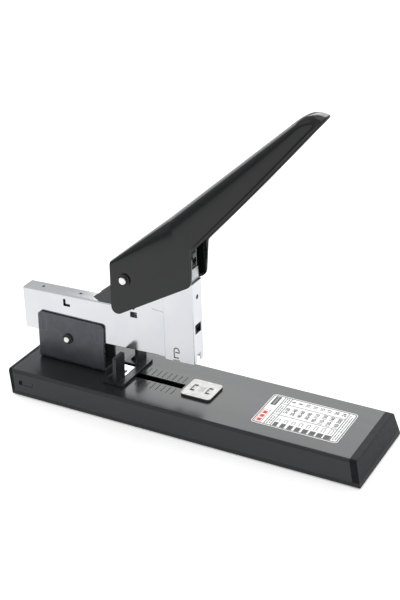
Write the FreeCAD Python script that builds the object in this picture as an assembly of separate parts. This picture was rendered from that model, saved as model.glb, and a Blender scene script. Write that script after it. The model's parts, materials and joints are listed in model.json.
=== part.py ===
"""Long-lever desk stapler: base with turning anvil and sliding paper stop, pivoting staple head,
lever handle. Millimetres, +Z up, +X from the rear of the base towards its front. The origin is the
centre of the base's footprint, on the face of the foot mat."""
import FreeCAD, Part
import math
import os

V = FreeCAD.Vector

# ---- base ----
base_length = 290.0
base_top_width = 74.6
base_height = 19.5
side_spread = 3.7
end_slant = 5.3
mat_thickness = 1.0
mat_inset = 9.0
pan_thickness = 3.0
pan_rim_height = 5.0
pan_rim_wall = 1.6
cover_sheet = 1.0
cover_edge_radius = 2.6
rear_cap_length = 3.2
front_cap_length = 5.6
cap_plug_depth = 9.0
cap_plug_wall = 2.0
screw_radius = 1.6
screw_head_radius = 3.0
screw_head_height = 1.8
screw_length = 11.0
screw_inset_x = 5.0
screw_inset_y = 12.0
boss_radius = 4.0
lance_length = 12.5
lance_height = 3.4
lance_pocket = 3.0
lance_slit = 0.5
lance_from_rear = 10.5
lance_z = 9.0
fit_gap = 0.05
slide_gap = 0.15
body_gap = 0.3

# ---- anvil ----
anvil_from_rear = 150.4
anvil_size = 25.0
anvil_thickness = 1.6
anvil_corner_radius = 3.0
anvil_post_radius = 4.0
anvil_clip_radius = 7.0
anvil_clip_thickness = 1.2
pocket_length = 3.6
pocket_width = 2.1
pocket_depth = 0.8
pocket_offset_y = 3.8
spine_width = 0.8
spine_depth = 0.5
station_rear_x = -8.2
station_front_x = 4.4

# ---- chart ----
label_from_rear = 235.0
label_length = 68.0
label_width = 44.0
label_thickness = 0.15
label_corner_radius = 3.0

# ---- paper stop ----
slot_width = 7.0
slot_rear = 76.0
slot_front = 134.9
stop_face_from_rear = 89.5
stop_blade_thickness = 2.9
stop_gap_half = 10.4
stop_half_width = 23.6
stop_height = 24.0
stop_foot_thickness = 2.1
stop_foot_length = 10.5
stop_bar_length = 5.4
stop_gusset_height = 9.0
stop_gusset_width = 2.2
slide_plate_half = 9.3
slide_plate_length = 15.0
slide_plate_thickness = 0.8
stop_screw_behind_face = 7.0
stop_screw_radius = 1.75
stop_screw_head_radius = 2.9
stop_screw_head_height = 1.3
clamp_length = 13.0
clamp_half_width = 9.0
clamp_thickness = 2.2

# ---- pivot bracket ----
bracket_from_rear = 11.4
bracket_length = 58.6
bracket_height = 40.3
bracket_sheet = 1.6
bracket_bend_radius = 3.2
bracket_corner_radius = 2.6
bracket_clearance = 0.7
pad_length = 4.4
pad_height = 13.0
pad_depth = 0.3
pad_inset_x = 3.0
pad_inset_z = 2.4
rivet_radius = 2.0
rivet_head_radius = 3.6
rivet_head_height = 1.2
bracket_rivet_inset = 12.0
bracket_rivet_pitch = 23.0

# ---- head, in its own axes: u along the magazine, w across it, from the pivot pin ----
pivot_from_rear = 38.6
pivot_above_base = 22.6
head_pitch = 1.9
head_rear = -40.2
head_bottom = 1.6
head_top = 36.3
head_half_width = 7.0
head_sheet = 0.8
casing_front = 92.0
ramp_start = 60.0
pivot_pin_radius = 2.4
pivot_lug_radius = 5.6
pin_end_stand = 3.3
ring_radius = 4.2
ring_thickness = 1.0
ring_gap = 0.1
housing_rear = 85.0
housing_front = 109.7
housing_bottom = -0.3
tower_top = 65.0
housing_sheet = 0.7
front_plate_sheet = 1.2
top_hole_radius = 1.3
top_holes_u = (-25.5, 8.4)
hook_slot_u = -3.7
hook_slot_w = 26.6
hook_slot_height = 5.9
hook_slot_length = 6.0
hook_slot_width = 2.1
sight_u = 55.8
sight_w = 28.8
sight_length = 5.9
sight_height = 4.5
plate_hole_radius = 1.8
plate_hole_w = 52.8
plate_window_half = 4.6
plate_window_w = 23.5
plate_window_height = 7.5
plate_notch_half = 3.2
plate_notch_top = 6.0
lock_from_rear = 7.4
lock_width = 4.2
lock_slit = 0.7
lock_bottom = 2.3
lock_middle = 6.7
lock_top = 11.2
foot_notch_height = 1.2
foot_radius = 1.4

# ---- magazine ----
crown_half = 6.1
staple_wire = 0.9
staple_leg = 20.0
rail_half = 5.0
rail_sheet = 0.8
rail_bottom = 3.2
rail_top = 27.4
rail_front = 106.6
end_block_length = 6.0
end_block_rear = -39.6
strip_rear = 47.3
pusher_length = 9.0
pusher_bottom = 14.0
pusher_top = 34.0
rod_radius = 1.0
rod_w = 31.4
rod_front = 98.0
pusher_spring_radius = 2.6
spring_wall = 0.8

# ---- lift spring under the head ----
lift_spring_u = 22.0
lift_spring_radius = 5.0
lift_seat_length = 13.0
lift_seat_thickness = 1.2

# ---- driver ----
blade_half = 6.0
blade_sheet = 0.9
carriage_sheet = 1.2
carriage_rear = 93.0
flange_depth = 12.0
carriage_ear_height = 21.5
carriage_ear_sheet = 0.9
return_seat_w = 33.5
return_seat_thickness = 1.2
return_spring_radius = 4.6
post_radius = 2.4
post_height = 9.6

# ---- lever and handle; s along the handle's roof, n square to it, from the handle pin ----
handle_pin_u = 56.1
handle_pin_w = 62.0
handle_pin_radius = 2.9
handle_ring_radius = 4.9
lever_sheet = 1.5
lever_floor_rear = 29.8
lever_floor_front = 74.0
beak_u = 23.7
beak_w = 39.3
bush_radius = 4.6
handle_angle = 41.3
handle_half = 13.2
handle_tip_half = 9.0
handle_sheet = 1.6
handle_roof = 17.5
handle_roof_radius = 3.0
handle_rear = -1.3
handle_taper_start = 60.0
handle_nose = 209.5
nose_start = 190.0
nose_steps = 9
handle_lip_at_tip = 6.2
cheek_rear_corner = (-30.8, -17.4)
cheek_rear_radius = 5.3
cheek_front_corner = (45.8, -32.0)
cheek_front_radius = 6.5
cheek_neck = (64.9, -12.2)
cheek_neck_radius = 4.0
press_arm = 47.0
press_angle = 22.0
press_radius = 4.0
press_pin_radius = 2.0
yoke_half = 4.4
yoke_sheet = 1.2

# ---- worked out ----
top_rear_x = -base_length / 2 - end_slant
top_z = base_height
cover_bottom = mat_thickness + pan_thickness
slant_height = base_height - mat_thickness
pivot_x = top_rear_x + pivot_from_rear
pivot_z = top_z + pivot_above_base
bracket_inner = head_half_width + bracket_clearance
bracket_outer = bracket_inner + bracket_sheet
inner_half = head_half_width - head_sheet
bracket_ear_half = inner_half - fit_gap
housing_inner = head_half_width + fit_gap
housing_half = housing_inner + housing_sheet
plate_back = housing_front - front_plate_sheet
handle_inner = handle_half - handle_sheet
blade_front = plate_back - body_gap
blade_back = blade_front - blade_sheet
press_u = handle_pin_u + press_arm * math.cos(math.radians(press_angle))
press_w = handle_pin_w + press_arm * math.sin(math.radians(press_angle))
carriage_top = press_w - press_radius - body_gap
strip_top = rail_top + slide_gap + staple_wire
rod_rear = end_block_rear + end_block_length
pusher_front = strip_rear - body_gap
pusher_rear = pusher_front - pusher_length


def block(x0, x1, y0, y1, z0, z1):
    """A box between two corners."""
    return Part.makeBox(x1 - x0, y1 - y0, z1 - z0, V(x0, y0, z0))


def rod_y(radius, y0, y1, x, z):
    """A round bar along Y."""
    return Part.makeCylinder(radius, y1 - y0, V(x, y0, z), V(0, 1, 0))


def rod_z(radius, z0, z1, x, y):
    """A round bar along Z."""
    return Part.makeCylinder(radius, z1 - z0, V(x, y, z0), V(0, 0, 1))


def rod_x(radius, x0, x1, y, z):
    """A round bar along X."""
    return Part.makeCylinder(radius, x1 - x0, V(x0, y, z), V(1, 0, 0))


def side_prism(points, y0, y1):
    """A flat outline in the X-Z plane, given thickness from y0 to y1."""
    corners = [V(x, y0, z) for x, z in points]
    wire = Part.makePolygon(corners + [corners[0]])
    return Part.Face(wire).extrude(V(0, y1 - y0, 0))


def end_prism(points, x0, x1):
    """A flat outline in the Y-Z plane, given length from x0 to x1."""
    corners = [V(x0, y, z) for y, z in points]
    wire = Part.makePolygon(corners + [corners[0]])
    return Part.Face(wire).extrude(V(x1 - x0, 0, 0))


def mirrored(shape):
    """The shape and its mirror image across the X-Z plane, as one compound."""
    return Part.makeCompound([shape, shape.mirror(V(0, 0, 0), V(0, 1, 0))])


def both_sides(shape):
    """The list of a solid and its mirror image across the X-Z plane."""
    return [shape, shape.mirror(V(0, 0, 0), V(0, 1, 0))]


def joined(first, *others):
    """One solid out of several that touch."""
    return first.fuse(list(others)).removeSplitter()


def round_edges(shape, radius, wanted):
    """Rounds the edges whose middle point passes the test."""
    edges = [e for e in shape.Edges if wanted(e.CenterOfMass, e)]
    return shape.makeFillet(radius, edges)


def along(edge, axis):
    """True for a straight edge that runs along the axis."""
    if edge.Curve.TypeId != "Part::GeomLine":
        return False
    direction = edge.Vertexes[-1].Point - edge.Vertexes[0].Point
    return abs(direction.normalize().dot(axis)) > 0.999


def in_head(shape):
    """Moves a shape from the head's own axes to its place at rest."""
    placed = shape.copy()
    placed.rotate(V(0, 0, 0), V(0, 1, 0), -head_pitch)
    placed.translate(V(pivot_x, 0, pivot_z))
    return placed


def save(node, shape):
    """Writes one sub-part after checking that it is sound."""
    solids = shape.Solids
    if not solids or not shape.isValid():
        raise ValueError(node + " is not a valid solid")
    out = solids[0] if len(solids) == 1 else Part.makeCompound(solids)
    out.exportStep("parts/" + node + ".step")


def section_half(z, inset):
    """Half width of the base's outline at a height, moved in by inset."""
    drop = (top_z - z) / slant_height
    return base_top_width / 2 + side_spread * drop - inset


def base_bar(inset, z0, z1, radius):
    """The base's trapezium section between two heights, much longer than the base."""
    points = [(-section_half(z0, inset), z0), (section_half(z0, inset), z0)]
    points += [(section_half(z1, inset), z1), (-section_half(z1, inset), z1)]
    bar = end_prism(points, -base_length, base_length)
    if radius <= 0:
        return bar
    return round_edges(bar, radius, lambda c, e: c.z > z1 - 0.01 and along(e, V(1, 0, 0)) and abs(c.y) > 1)


def slanted(x0, x1):
    """The slab between two leaning ends, given where they meet the base's top face."""
    lean = end_slant / slant_height
    low = -5.0
    high = top_z + 5.0
    points = [(x0 + lean * (top_z - low), low), (x1 + lean * (top_z - low), low)]
    points += [(x1 + lean * (top_z - high), high), (x0 + lean * (top_z - high), high)]
    return side_prism(points, -base_top_width, base_top_width)


rear_joint_x = top_rear_x + rear_cap_length
front_joint_x = top_rear_x + base_length - front_cap_length
front_x = top_rear_x + base_length
screw_places = [(x, y) for x in (rear_joint_x + screw_inset_x + end_slant,
                                 front_joint_x - screw_inset_x + end_slant / 2)
                for y in (-section_half(top_z, screw_inset_y), section_half(top_z, screw_inset_y))]


def lance_cuts(depth):
    """Cuts that free a spring tab in both long sides: a pocket at its rear, slits below and in front."""
    x0 = top_rear_x + lance_from_rear
    x1 = x0 + lance_length
    y1 = -section_half(lance_z, depth)
    y0 = y1 - 4 * depth
    z1 = lance_z + lance_height
    cuts = []
    for cut in (block(x0, x0 + lance_pocket, y0, y1, lance_z, z1),
                block(x0, x1, y0, y1, lance_z, lance_z + lance_slit),
                block(x1 - lance_slit, x1, y0, y1, lance_z, z1)):
        cuts += both_sides(cut)
    return cuts


def make_base_cover():
    """Folded steel cover: top and two spreading sides, open at both ends."""
    outer = base_bar(0, cover_bottom, top_z, cover_edge_radius)
    inner = base_bar(cover_sheet, cover_bottom - 1, top_z - cover_sheet, cover_edge_radius - cover_sheet)
    shell = outer.cut(inner).common(slanted(rear_joint_x, front_joint_x))
    slot_x0 = top_rear_x + slot_rear
    slot_x1 = top_rear_x + slot_front
    cuts = [block(slot_x0, slot_x1, -slot_width / 2, slot_width / 2, top_z - 3, top_z + 1)]
    cuts.append(rod_z(anvil_post_radius + fit_gap, top_z - 3, top_z + 1, top_rear_x + anvil_from_rear, 0))
    cuts += [rod_z(rivet_radius, top_z - 3, top_z + 1, x, 0) for x in rivet_xs()]
    cuts += lance_cuts(cover_sheet * 1.6)
    return shell.cut(cuts)


def end_cap(x0, x1, plug_x0, plug_x1, boss_x):
    """Moulded end: a leaning outer slab and a hollow plug that fills the cover's end."""
    slab = base_bar(0, cover_bottom, top_z, cover_edge_radius).common(slanted(x0, x1))
    gap = cover_sheet + fit_gap
    plug = base_bar(gap, cover_bottom, top_z - gap, cover_edge_radius - gap).common(slanted(plug_x0, plug_x1))
    hollow = base_bar(gap + cap_plug_wall, cover_bottom - 1, top_z - gap - cap_plug_wall, 0)
    hollow = hollow.common(slanted(plug_x0 - 1, plug_x1 + 1))
    cap = slab.fuse(plug.cut(hollow))
    bosses = [rod_z(boss_radius, cover_bottom, top_z - gap - 0.5, x, y)
              for x, y in screw_places if abs(x - boss_x) < 20]
    cap = cap.fuse(bosses)
    holes = [rod_z(screw_radius, 0, mat_thickness + screw_length, x, y) for x, y in screw_places]
    return cap.cut(holes).removeSplitter()


def make_rear_cap():
    """Rear end cap."""
    plug_end = rear_joint_x + cap_plug_depth + end_slant
    return end_cap(top_rear_x, rear_joint_x, rear_joint_x - 0.5, plug_end, rear_joint_x + end_slant)


def make_front_cap():
    """Front end cap."""
    plug_end = front_joint_x - cap_plug_depth
    return end_cap(front_joint_x, front_x, plug_end, front_joint_x + 0.5, front_joint_x)


def make_base_pan():
    """Closing pan under the base, with a rim inside the cover."""
    plate = base_bar(0, mat_thickness, cover_bottom, 0).common(slanted(top_rear_x, front_x))
    gap = cover_sheet + fit_gap + slide_gap
    rim_top = cover_bottom + pan_rim_height
    rim = base_bar(gap, cover_bottom - 0.5, rim_top, 0)
    rim = rim.cut(base_bar(gap + pan_rim_wall, cover_bottom - 1, rim_top + 1, 0))
    rim_x0 = rear_joint_x + cap_plug_depth + end_slant + 1
    rim_x1 = front_joint_x - cap_plug_depth - 1
    rim = rim.common(slanted(rim_x0, rim_x1))
    cuts = []
    for x, y in screw_places:
        cuts.append(rod_z(screw_radius + fit_gap, 0, cover_bottom + 1, x, y))
        cuts.append(rod_z(screw_head_radius + fit_gap, 0, mat_thickness + screw_head_height, x, y))
    return plate.fuse(rim).cut(cuts).removeSplitter()


def make_foot_mat():
    """Anti-slip mat under the pan; the base stands on it."""
    x1 = base_length / 2 - mat_inset
    y1 = section_half(0, mat_inset)
    mat = block(-x1, x1, -y1, y1, 0, mat_thickness)
    mat = round_edges(mat, 4.0, lambda c, e: along(e, V(0, 0, 1)))
    holes = [rod_z(screw_head_radius + 1.0, -1, mat_thickness + 1, x, y) for x, y in screw_places]
    return mat.cut(holes)


def make_base_screws():
    """Four pan screws driven up into the end caps."""
    solids = []
    for x, y in screw_places:
        head = rod_z(screw_head_radius, mat_thickness, mat_thickness + screw_head_height, x, y)
        shank = rod_z(screw_radius, mat_thickness, mat_thickness + screw_length, x, y)
        recess = block(x - 2, x + 2, y - 0.4, y + 0.4, mat_thickness - 1, mat_thickness + 0.9)
        cross = block(x - 0.4, x + 0.4, y - 2, y + 2, mat_thickness - 1, mat_thickness + 0.9)
        solids.append(head.fuse(shank).cut([recess, cross]).removeSplitter())
    return Part.makeCompound(solids)


def make_chart_label():
    """Staple chart sheet stuck on the base's top."""
    x = top_rear_x + label_from_rear
    half = label_length / 2
    label = block(x - half, x + half, -label_width / 2, label_width / 2, top_z, top_z + label_thickness)
    return round_edges(label, label_corner_radius, lambda c, e: along(e, V(0, 0, 1)))


def make_anvil_plate():
    """Square turning anvil with two clinching stations, on a round post."""
    x = top_rear_x + anvil_from_rear
    half = anvil_size / 2
    bottom = top_z + body_gap
    top = bottom + anvil_thickness
    plate = block(x - half, x + half, -half, half, bottom, top)
    plate = round_edges(plate, anvil_corner_radius, lambda c, e: along(e, V(0, 0, 1)))
    post = rod_z(anvil_post_radius, top_z - cover_sheet - 3.0, bottom + 0.5, x, 0)
    pockets = []
    for rear in (x + station_rear_x, x + station_front_x):
        for side in (-pocket_offset_y, pocket_offset_y):
            cut = block(rear, rear + pocket_length, side - pocket_width / 2, side + pocket_width / 2,
                        top - pocket_depth, top + 1)
            pockets.append(round_edges(cut, pocket_width * 0.4, lambda c, e: along(e, V(0, 0, 1))))
        pockets.append(block(rear, rear + spine_width, -pocket_offset_y, pocket_offset_y,
                             top - spine_depth, top + 1))
        pockets.append(block(rear, rear + pocket_length / 2, -spine_width / 2, spine_width / 2,
                             top - spine_depth, top + 1))
    return plate.fuse(post).cut(pockets).removeSplitter()


def make_anvil_clip():
    """Retaining ring under the cover that holds the anvil's post."""
    x = top_rear_x + anvil_from_rear
    top = top_z - cover_sheet - body_gap
    ring = rod_z(anvil_clip_radius, top - anvil_clip_thickness, top, x, 0)
    return ring.cut(rod_z(anvil_post_radius, 0, top_z, x, 0))


stop_face_x = top_rear_x + stop_face_from_rear
stop_back_x = stop_face_x - stop_blade_thickness
stop_bottom = top_z + slide_gap
stop_screw_x = stop_face_x - stop_screw_behind_face


def make_stop_body():
    """Moulded paper stop: two upright blades joined by a low cross bar, with gusseted feet."""
    bar = block(stop_face_x - 1.0, stop_face_x + stop_bar_length, -stop_half_width, stop_half_width,
                stop_bottom, stop_bottom + stop_foot_thickness)
    pieces = []
    for side in (-1, 1):
        y0, y1 = sorted((side * stop_gap_half, side * stop_half_width))
        top = top_z + stop_height
        blade = block(stop_back_x, stop_face_x, y0, y1, stop_bottom, top)
        blade = round_edges(blade, 1.2, lambda c, e: c.z > top - 0.01 and along(e, V(1, 0, 0)))
        foot = block(stop_back_x - stop_foot_length, stop_face_x, y0, y1,
                     stop_bottom, stop_bottom + stop_foot_thickness)
        foot = round_edges(foot, 2.0, lambda c, e: c.x < stop_back_x - stop_foot_length + 0.01
                           and along(e, V(0, 0, 1)))
        rib_top = stop_bottom + stop_foot_thickness + stop_gusset_height
        outline = [(stop_back_x - stop_foot_length + 2, stop_bottom + 1), (stop_back_x + 1, stop_bottom + 1),
                   (stop_back_x + 1, rib_top)]
        middle = (y0 + y1) / 2
        rib = side_prism(outline, middle - stop_gusset_width / 2, middle + stop_gusset_width / 2)
        pieces += [blade, foot, rib]
    body = bar.fuse(pieces).removeSplitter()
    plate = slide_plate_box(fit_gap)
    return body.cut(plate)


def slide_plate_box(grow):
    """The strip that carries the paper stop, grown by a gap."""
    x1 = stop_face_x + stop_bar_length - 1.4
    return block(x1 - slide_plate_length - grow, x1 + grow, -slide_plate_half - grow, slide_plate_half + grow,
                 stop_bottom, stop_bottom + slide_plate_thickness + grow)


def make_slide_plate():
    """Steel strip under the cross bar, held to the clamp by the screw."""
    return slide_plate_box(0).cut(rod_z(stop_screw_radius, 0, top_z + 9, stop_screw_x, 0))


def make_stop_screw():
    """Round-headed screw through the slot."""
    seat = stop_bottom + slide_plate_thickness
    head = rod_z(stop_screw_head_radius, seat, seat + stop_screw_head_height, stop_screw_x, 0)
    head = round_edges(head, 0.8, lambda c, e: c.z > seat + stop_screw_head_height - 0.01)
    shank = rod_z(stop_screw_radius, top_z - cover_sheet - clamp_thickness - 1, seat + 0.5, stop_screw_x, 0)
    return head.fuse(shank).removeSplitter()


def make_stop_clamp():
    """Plate under the cover whose neck runs in the slot."""
    top = top_z - cover_sheet - slide_gap
    x0 = stop_screw_x - clamp_length / 2
    plate = block(x0, x0 + clamp_length, -clamp_half_width, clamp_half_width, top - clamp_thickness, top)
    neck_half = slot_width / 2 - slide_gap
    neck = block(stop_screw_x - 4, stop_screw_x + 4, -neck_half, neck_half, top - 1, stop_bottom - 0.02)
    return plate.fuse(neck).cut(rod_z(stop_screw_radius, 0, top_z + 9, stop_screw_x, 0)).removeSplitter()


bracket_x0 = top_rear_x + bracket_from_rear
bracket_x1 = bracket_x0 + bracket_length


def rivet_xs():
    """Where the bracket's two rivets stand."""
    x0 = top_rear_x + bracket_from_rear + bracket_rivet_inset
    return (x0, x0 + bracket_rivet_pitch)


def make_pivot_bracket():
    """Folded U bracket that carries the head."""
    top = top_z + bracket_height
    outer = block(bracket_x0, bracket_x1, -bracket_outer, bracket_outer, top_z, top)
    outer = round_edges(outer, bracket_bend_radius, lambda c, e: c.z < top_z + 0.01 and along(e, V(1, 0, 0)))
    inner = block(bracket_x0 - 1, bracket_x1 + 1, -bracket_inner, bracket_inner, top_z + bracket_sheet, top + 1)
    bend = bracket_bend_radius - bracket_sheet
    inner = round_edges(inner, bend, lambda c, e: c.z < top_z + bracket_sheet + 0.01 and along(e, V(1, 0, 0)))
    shell = outer.cut(inner)
    shell = round_edges(shell, bracket_corner_radius,
                        lambda c, e: c.z > top - 0.01 and along(e, V(0, 1, 0)))
    cuts = [rod_z(rivet_radius, top_z - 1, top_z + 5, x, 0) for x in rivet_xs()]
    cuts.append(rod_y(pivot_pin_radius, -20, 20, pivot_x, pivot_z))
    for x in (bracket_x0 + pad_inset_x, bracket_x1 - pad_inset_x - pad_length):
        pad = block(x, x + pad_length, -bracket_outer - 1, -bracket_outer + pad_depth,
                    top - pad_inset_z - pad_height, top - pad_inset_z)
        cuts += both_sides(round_edges(pad, pad_length * 0.3, lambda c, e: along(e, V(0, 1, 0))))
    return shell.cut(cuts)


def make_bracket_rivets():
    """Two rivets through the bracket's floor and the cover."""
    solids = []
    floor = top_z + bracket_sheet
    under = top_z - cover_sheet
    for x in rivet_xs():
        shank = rod_z(rivet_radius, under - rivet_head_height, floor + rivet_head_height, x, 0)
        upper = rod_z(rivet_head_radius, floor, floor + rivet_head_height, x, 0)
        lower = rod_z(rivet_head_radius, under - rivet_head_height, under, x, 0)
        solids.append(shank.fuse([upper, lower]).removeSplitter())
    return Part.makeCompound(solids)


def make_pin(radius, half, x, z):
    """Plain pin along Y with a small chamfer at both ends."""
    pin = rod_y(radius, -half, half, x, z)
    ends = [e for e in pin.Edges
            if abs(abs(e.CenterOfMass.y) - half) < 0.01 and e.Curve.TypeId != "Part::GeomLine"]
    return pin.makeChamfer(0.4, ends)


def make_rings(outer, inner, face, x, z):
    """Retaining rings at both ends of a pin."""
    y0 = face + ring_gap
    ring = rod_y(outer, y0, y0 + ring_thickness, x, z).cut(rod_y(inner, 0, 40, x, z))
    return mirrored(ring)


def make_head_casing():
    """Folded steel magazine casing: an upside-down channel with pivot lugs and a ramp to the tower."""
    half = head_half_width
    outline = [(head_rear, head_bottom), (casing_front, head_bottom), (casing_front, tower_top - 1)]
    outline += [(housing_rear + 1, tower_top - 1), (ramp_start, head_top), (head_rear, head_top)]
    outer = side_prism(outline, -half, half)
    lug = rod_y(pivot_lug_radius, -half, half, 0, 0)
    neck = side_prism([(-pivot_lug_radius - 3, head_bottom + 1), (-pivot_lug_radius, 0),
                       (pivot_lug_radius, 0), (pivot_lug_radius + 3, head_bottom + 1)], -half, half)
    outer = outer.fuse([lug, neck]).removeSplitter()
    outer = round_edges(outer, 1.2, lambda c, e: abs(c.z - head_top) < 0.01 and along(e, V(1, 0, 0))
                        and abs(c.y) > half - 0.01)
    hollow = block(head_rear - 1, casing_front + 1, -inner_half, inner_half, -20, head_top - head_sheet)
    open_top = block(ramp_start, casing_front + 1, -inner_half, inner_half, 0, tower_top + 5)
    cuts = [hollow, open_top, rod_y(pivot_pin_radius + fit_gap, -20, 20, 0, 0)]
    cuts += [rod_z(top_hole_radius, head_top - 3, head_top + 1, u, 0) for u in top_holes_u]
    cuts += [rod_z(rivet_radius, head_top - 3, head_top + 1, u, 0) for u in lever_rivet_us()]
    cuts.append(block(hook_slot_u, hook_slot_u + hook_slot_width, -20, 20,
                      hook_slot_w, hook_slot_w + hook_slot_height))
    cuts.append(block(hook_slot_u, hook_slot_u + hook_slot_length, -20, 20,
                      hook_slot_w, hook_slot_w + hook_slot_width))
    cuts.append(block(sight_u, sight_u + sight_length, -20, 20, sight_w, sight_w + sight_height))
    return outer.cut(cuts).removeSplitter()


def lock_cuts():
    """Slits that free a curled locking tongue in both sides of the tower: an upright slit, a hook over its
    top, and two short prongs; below it the foot is notched."""
    u0 = housing_rear + lock_from_rear
    u1 = u0 + lock_width
    hook_radius = (lock_width + lock_slit) / 2
    hook_u = u0 + hook_radius
    hook_w = lock_top - hook_radius
    hook = rod_y(hook_radius, -20, 20, hook_u, hook_w)
    hook = hook.cut(rod_y(hook_radius - lock_slit, -21, 21, hook_u, hook_w))
    hook = hook.common(block(u0, u1 + lock_slit, -20, 20, hook_w, lock_top))
    upright = block(u0, u0 + lock_slit, -20, 20, lock_bottom, hook_w)
    prongs = [block(u0, u1, -20, 20, lock_bottom, lock_bottom + lock_slit),
              block(u0 + 2 * lock_slit, u1 + lock_slit, -20, 20, lock_middle, lock_middle + lock_slit),
              block(u1, u1 + lock_slit, -20, 20, lock_middle, hook_w)]
    notch_top = housing_bottom + foot_notch_height
    notch = block(u0 - lock_slit, u1 + lock_slit, -20, 20, housing_bottom - 1, notch_top)
    return [hook, upright, notch] + prongs


def make_front_housing():
    """Tower at the front that guides the driver: two sides and the front plate."""
    outer = block(housing_rear, housing_front, -housing_half, housing_half, housing_bottom, tower_top)
    outer = round_edges(outer, 0.9, lambda c, e: c.x > housing_front - 0.01 and along(e, V(0, 0, 1)))
    outer = round_edges(outer, foot_radius, lambda c, e: c.x < housing_rear + 0.01
                        and c.z < housing_bottom + 0.01 and along(e, V(0, 1, 0)))
    inner = block(housing_rear - 1, plate_back, -housing_inner, housing_inner,
                  housing_bottom - 1, tower_top + 1)
    cuts = [inner, rod_x(plate_hole_radius, plate_back - 1, housing_front + 1, 0, plate_hole_w)]
    cuts.append(block(plate_back - 1, housing_front + 1, -plate_window_half, plate_window_half,
                      plate_window_w, plate_window_w + plate_window_height))
    cuts.append(block(plate_back - 1, housing_front + 1, -plate_notch_half, plate_notch_half,
                      housing_bottom - 1, plate_notch_top))
    cuts += lock_cuts()
    return outer.cut(cuts).removeSplitter()


def make_lift_seat():
    """Cross plate between the casing's walls that takes the lift spring."""
    u0 = lift_spring_u - lift_seat_length / 2
    return block(u0, u0 + lift_seat_length, -inner_half, inner_half,
                 head_bottom + 0.1, head_bottom + 0.1 + lift_seat_thickness)


def make_lift_spring():
    """Lift spring between the bracket's floor and the head, as a plain sleeve."""
    pitch = math.radians(head_pitch)
    x = pivot_x + lift_spring_u * math.cos(pitch) - head_bottom * math.sin(pitch)
    z1 = pivot_z + head_bottom + (lift_spring_u - lift_spring_radius) * math.sin(math.radians(head_pitch))
    z0 = top_z + bracket_sheet + 0.02
    tube = rod_z(lift_spring_radius, z0, z1 - 0.02, x, 0)
    return tube.cut(rod_z(lift_spring_radius - spring_wall, z0 - 1, z1 + 1, x, 0))


def lever_rivet_us():
    """Places of the rivets that hold the lever bracket on the casing."""
    return (lever_floor_rear + 6, ramp_start - 5)


def make_lever_bracket():
    """Black U bracket on the head, whose ears carry the handle pin."""
    half = bracket_ear_half
    floor_w = head_top + 0.02
    outline = [(beak_u, beak_w), (beak_u + 1.9, beak_w - 1.6), (lever_floor_rear, floor_w)]
    outline += [(lever_floor_front, floor_w), (lever_floor_front, floor_w + 6.0)]
    outline += [(handle_pin_u + 6.2, handle_pin_w), (handle_pin_u, handle_pin_w)]
    outline += [(handle_pin_u - 3.6, handle_pin_w + 4.6), (beak_u + 15.4, beak_w + 11.8)]
    solid = side_prism(outline, -half, half).fuse(rod_y(6.2, -half, half, handle_pin_u, handle_pin_w))
    gap = half - lever_sheet
    solid = solid.removeSplitter().cut(block(0, casing_front, -gap, gap, floor_w + lever_sheet, 100))
    cuts = [rod_z(rivet_radius, head_top - 3, head_top + 5, u, 0) for u in lever_rivet_us()]
    cuts.append(rod_y(handle_pin_radius, -20, 20, handle_pin_u, handle_pin_w))
    return solid.cut(cuts)


def make_lever_rivets():
    """Two rivets through the lever bracket and the casing's top."""
    solids = []
    floor = head_top + 0.02 + lever_sheet
    under = head_top - head_sheet
    for u in lever_rivet_us():
        shank = rod_z(rivet_radius, under - 0.9, floor + 1.0, u, 0)
        upper = rod_z(rivet_head_radius, floor, floor + 1.0, u, 0)
        lower = rod_z(rivet_head_radius - 0.4, under - 0.9, under, u, 0)
        solids.append(shank.fuse([upper, lower]).removeSplitter())
    return Part.makeCompound(solids)


def make_pin_bushes():
    """Spacer bushes between the lever bracket's ears and the handle's cheeks."""
    y0 = bracket_ear_half + fit_gap
    y1 = handle_inner - slide_gap
    bush = rod_y(bush_radius, y0, y1, handle_pin_u, handle_pin_w)
    return mirrored(bush.cut(rod_y(handle_pin_radius, 0, 40, handle_pin_u, handle_pin_w)))


def make_return_seat():
    """Cross plate in the tower under the driver's return spring."""
    return block(casing_front + 0.3, plate_back - 4.0, -housing_inner, housing_inner,
                 return_seat_w, return_seat_w + return_seat_thickness)


spring_centre_u = (casing_front + 0.3 + plate_back - 4.0) / 2


def make_spring_post():
    """Short post that centres the return spring."""
    z0 = return_seat_w + return_seat_thickness
    post = rod_z(post_radius, z0, z0 + post_height, spring_centre_u, 0)
    return round_edges(post, 0.8, lambda c, e: c.z > z0 + post_height - 0.01)


def make_return_spring():
    """Driver's return spring, as a plain sleeve."""
    z0 = return_seat_w + return_seat_thickness + 0.02
    z1 = carriage_top - carriage_sheet - 0.02
    tube = rod_z(return_spring_radius, z0, z1, spring_centre_u, 0)
    return tube.cut(rod_z(return_spring_radius - spring_wall, z0 - 1, z1 + 1, spring_centre_u, 0))


def make_driver_blade():
    """Flat blade that pushes one staple out."""
    return block(blade_back, blade_front, -blade_half, blade_half, strip_top + 1.0, carriage_top)


def make_driver_carriage():
    """Carriage on the blade: floor, front flange and two ears beside the press pin."""
    half = blade_half + 0.2
    front = blade_back - 0.02
    floor = block(carriage_rear, front, -half, half, carriage_top - carriage_sheet, carriage_top)
    flange = block(front - carriage_sheet, front, -half, half, carriage_top - flange_depth, carriage_top)
    top = carriage_top + carriage_ear_height
    ear = block(carriage_rear + 1, front, half - carriage_ear_sheet, half, carriage_top - carriage_sheet, top)
    ear = round_edges(ear, 3.0, lambda c, e: c.z > top - 0.01 and along(e, V(0, 1, 0)))
    return joined(floor, flange, *both_sides(ear))


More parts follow.
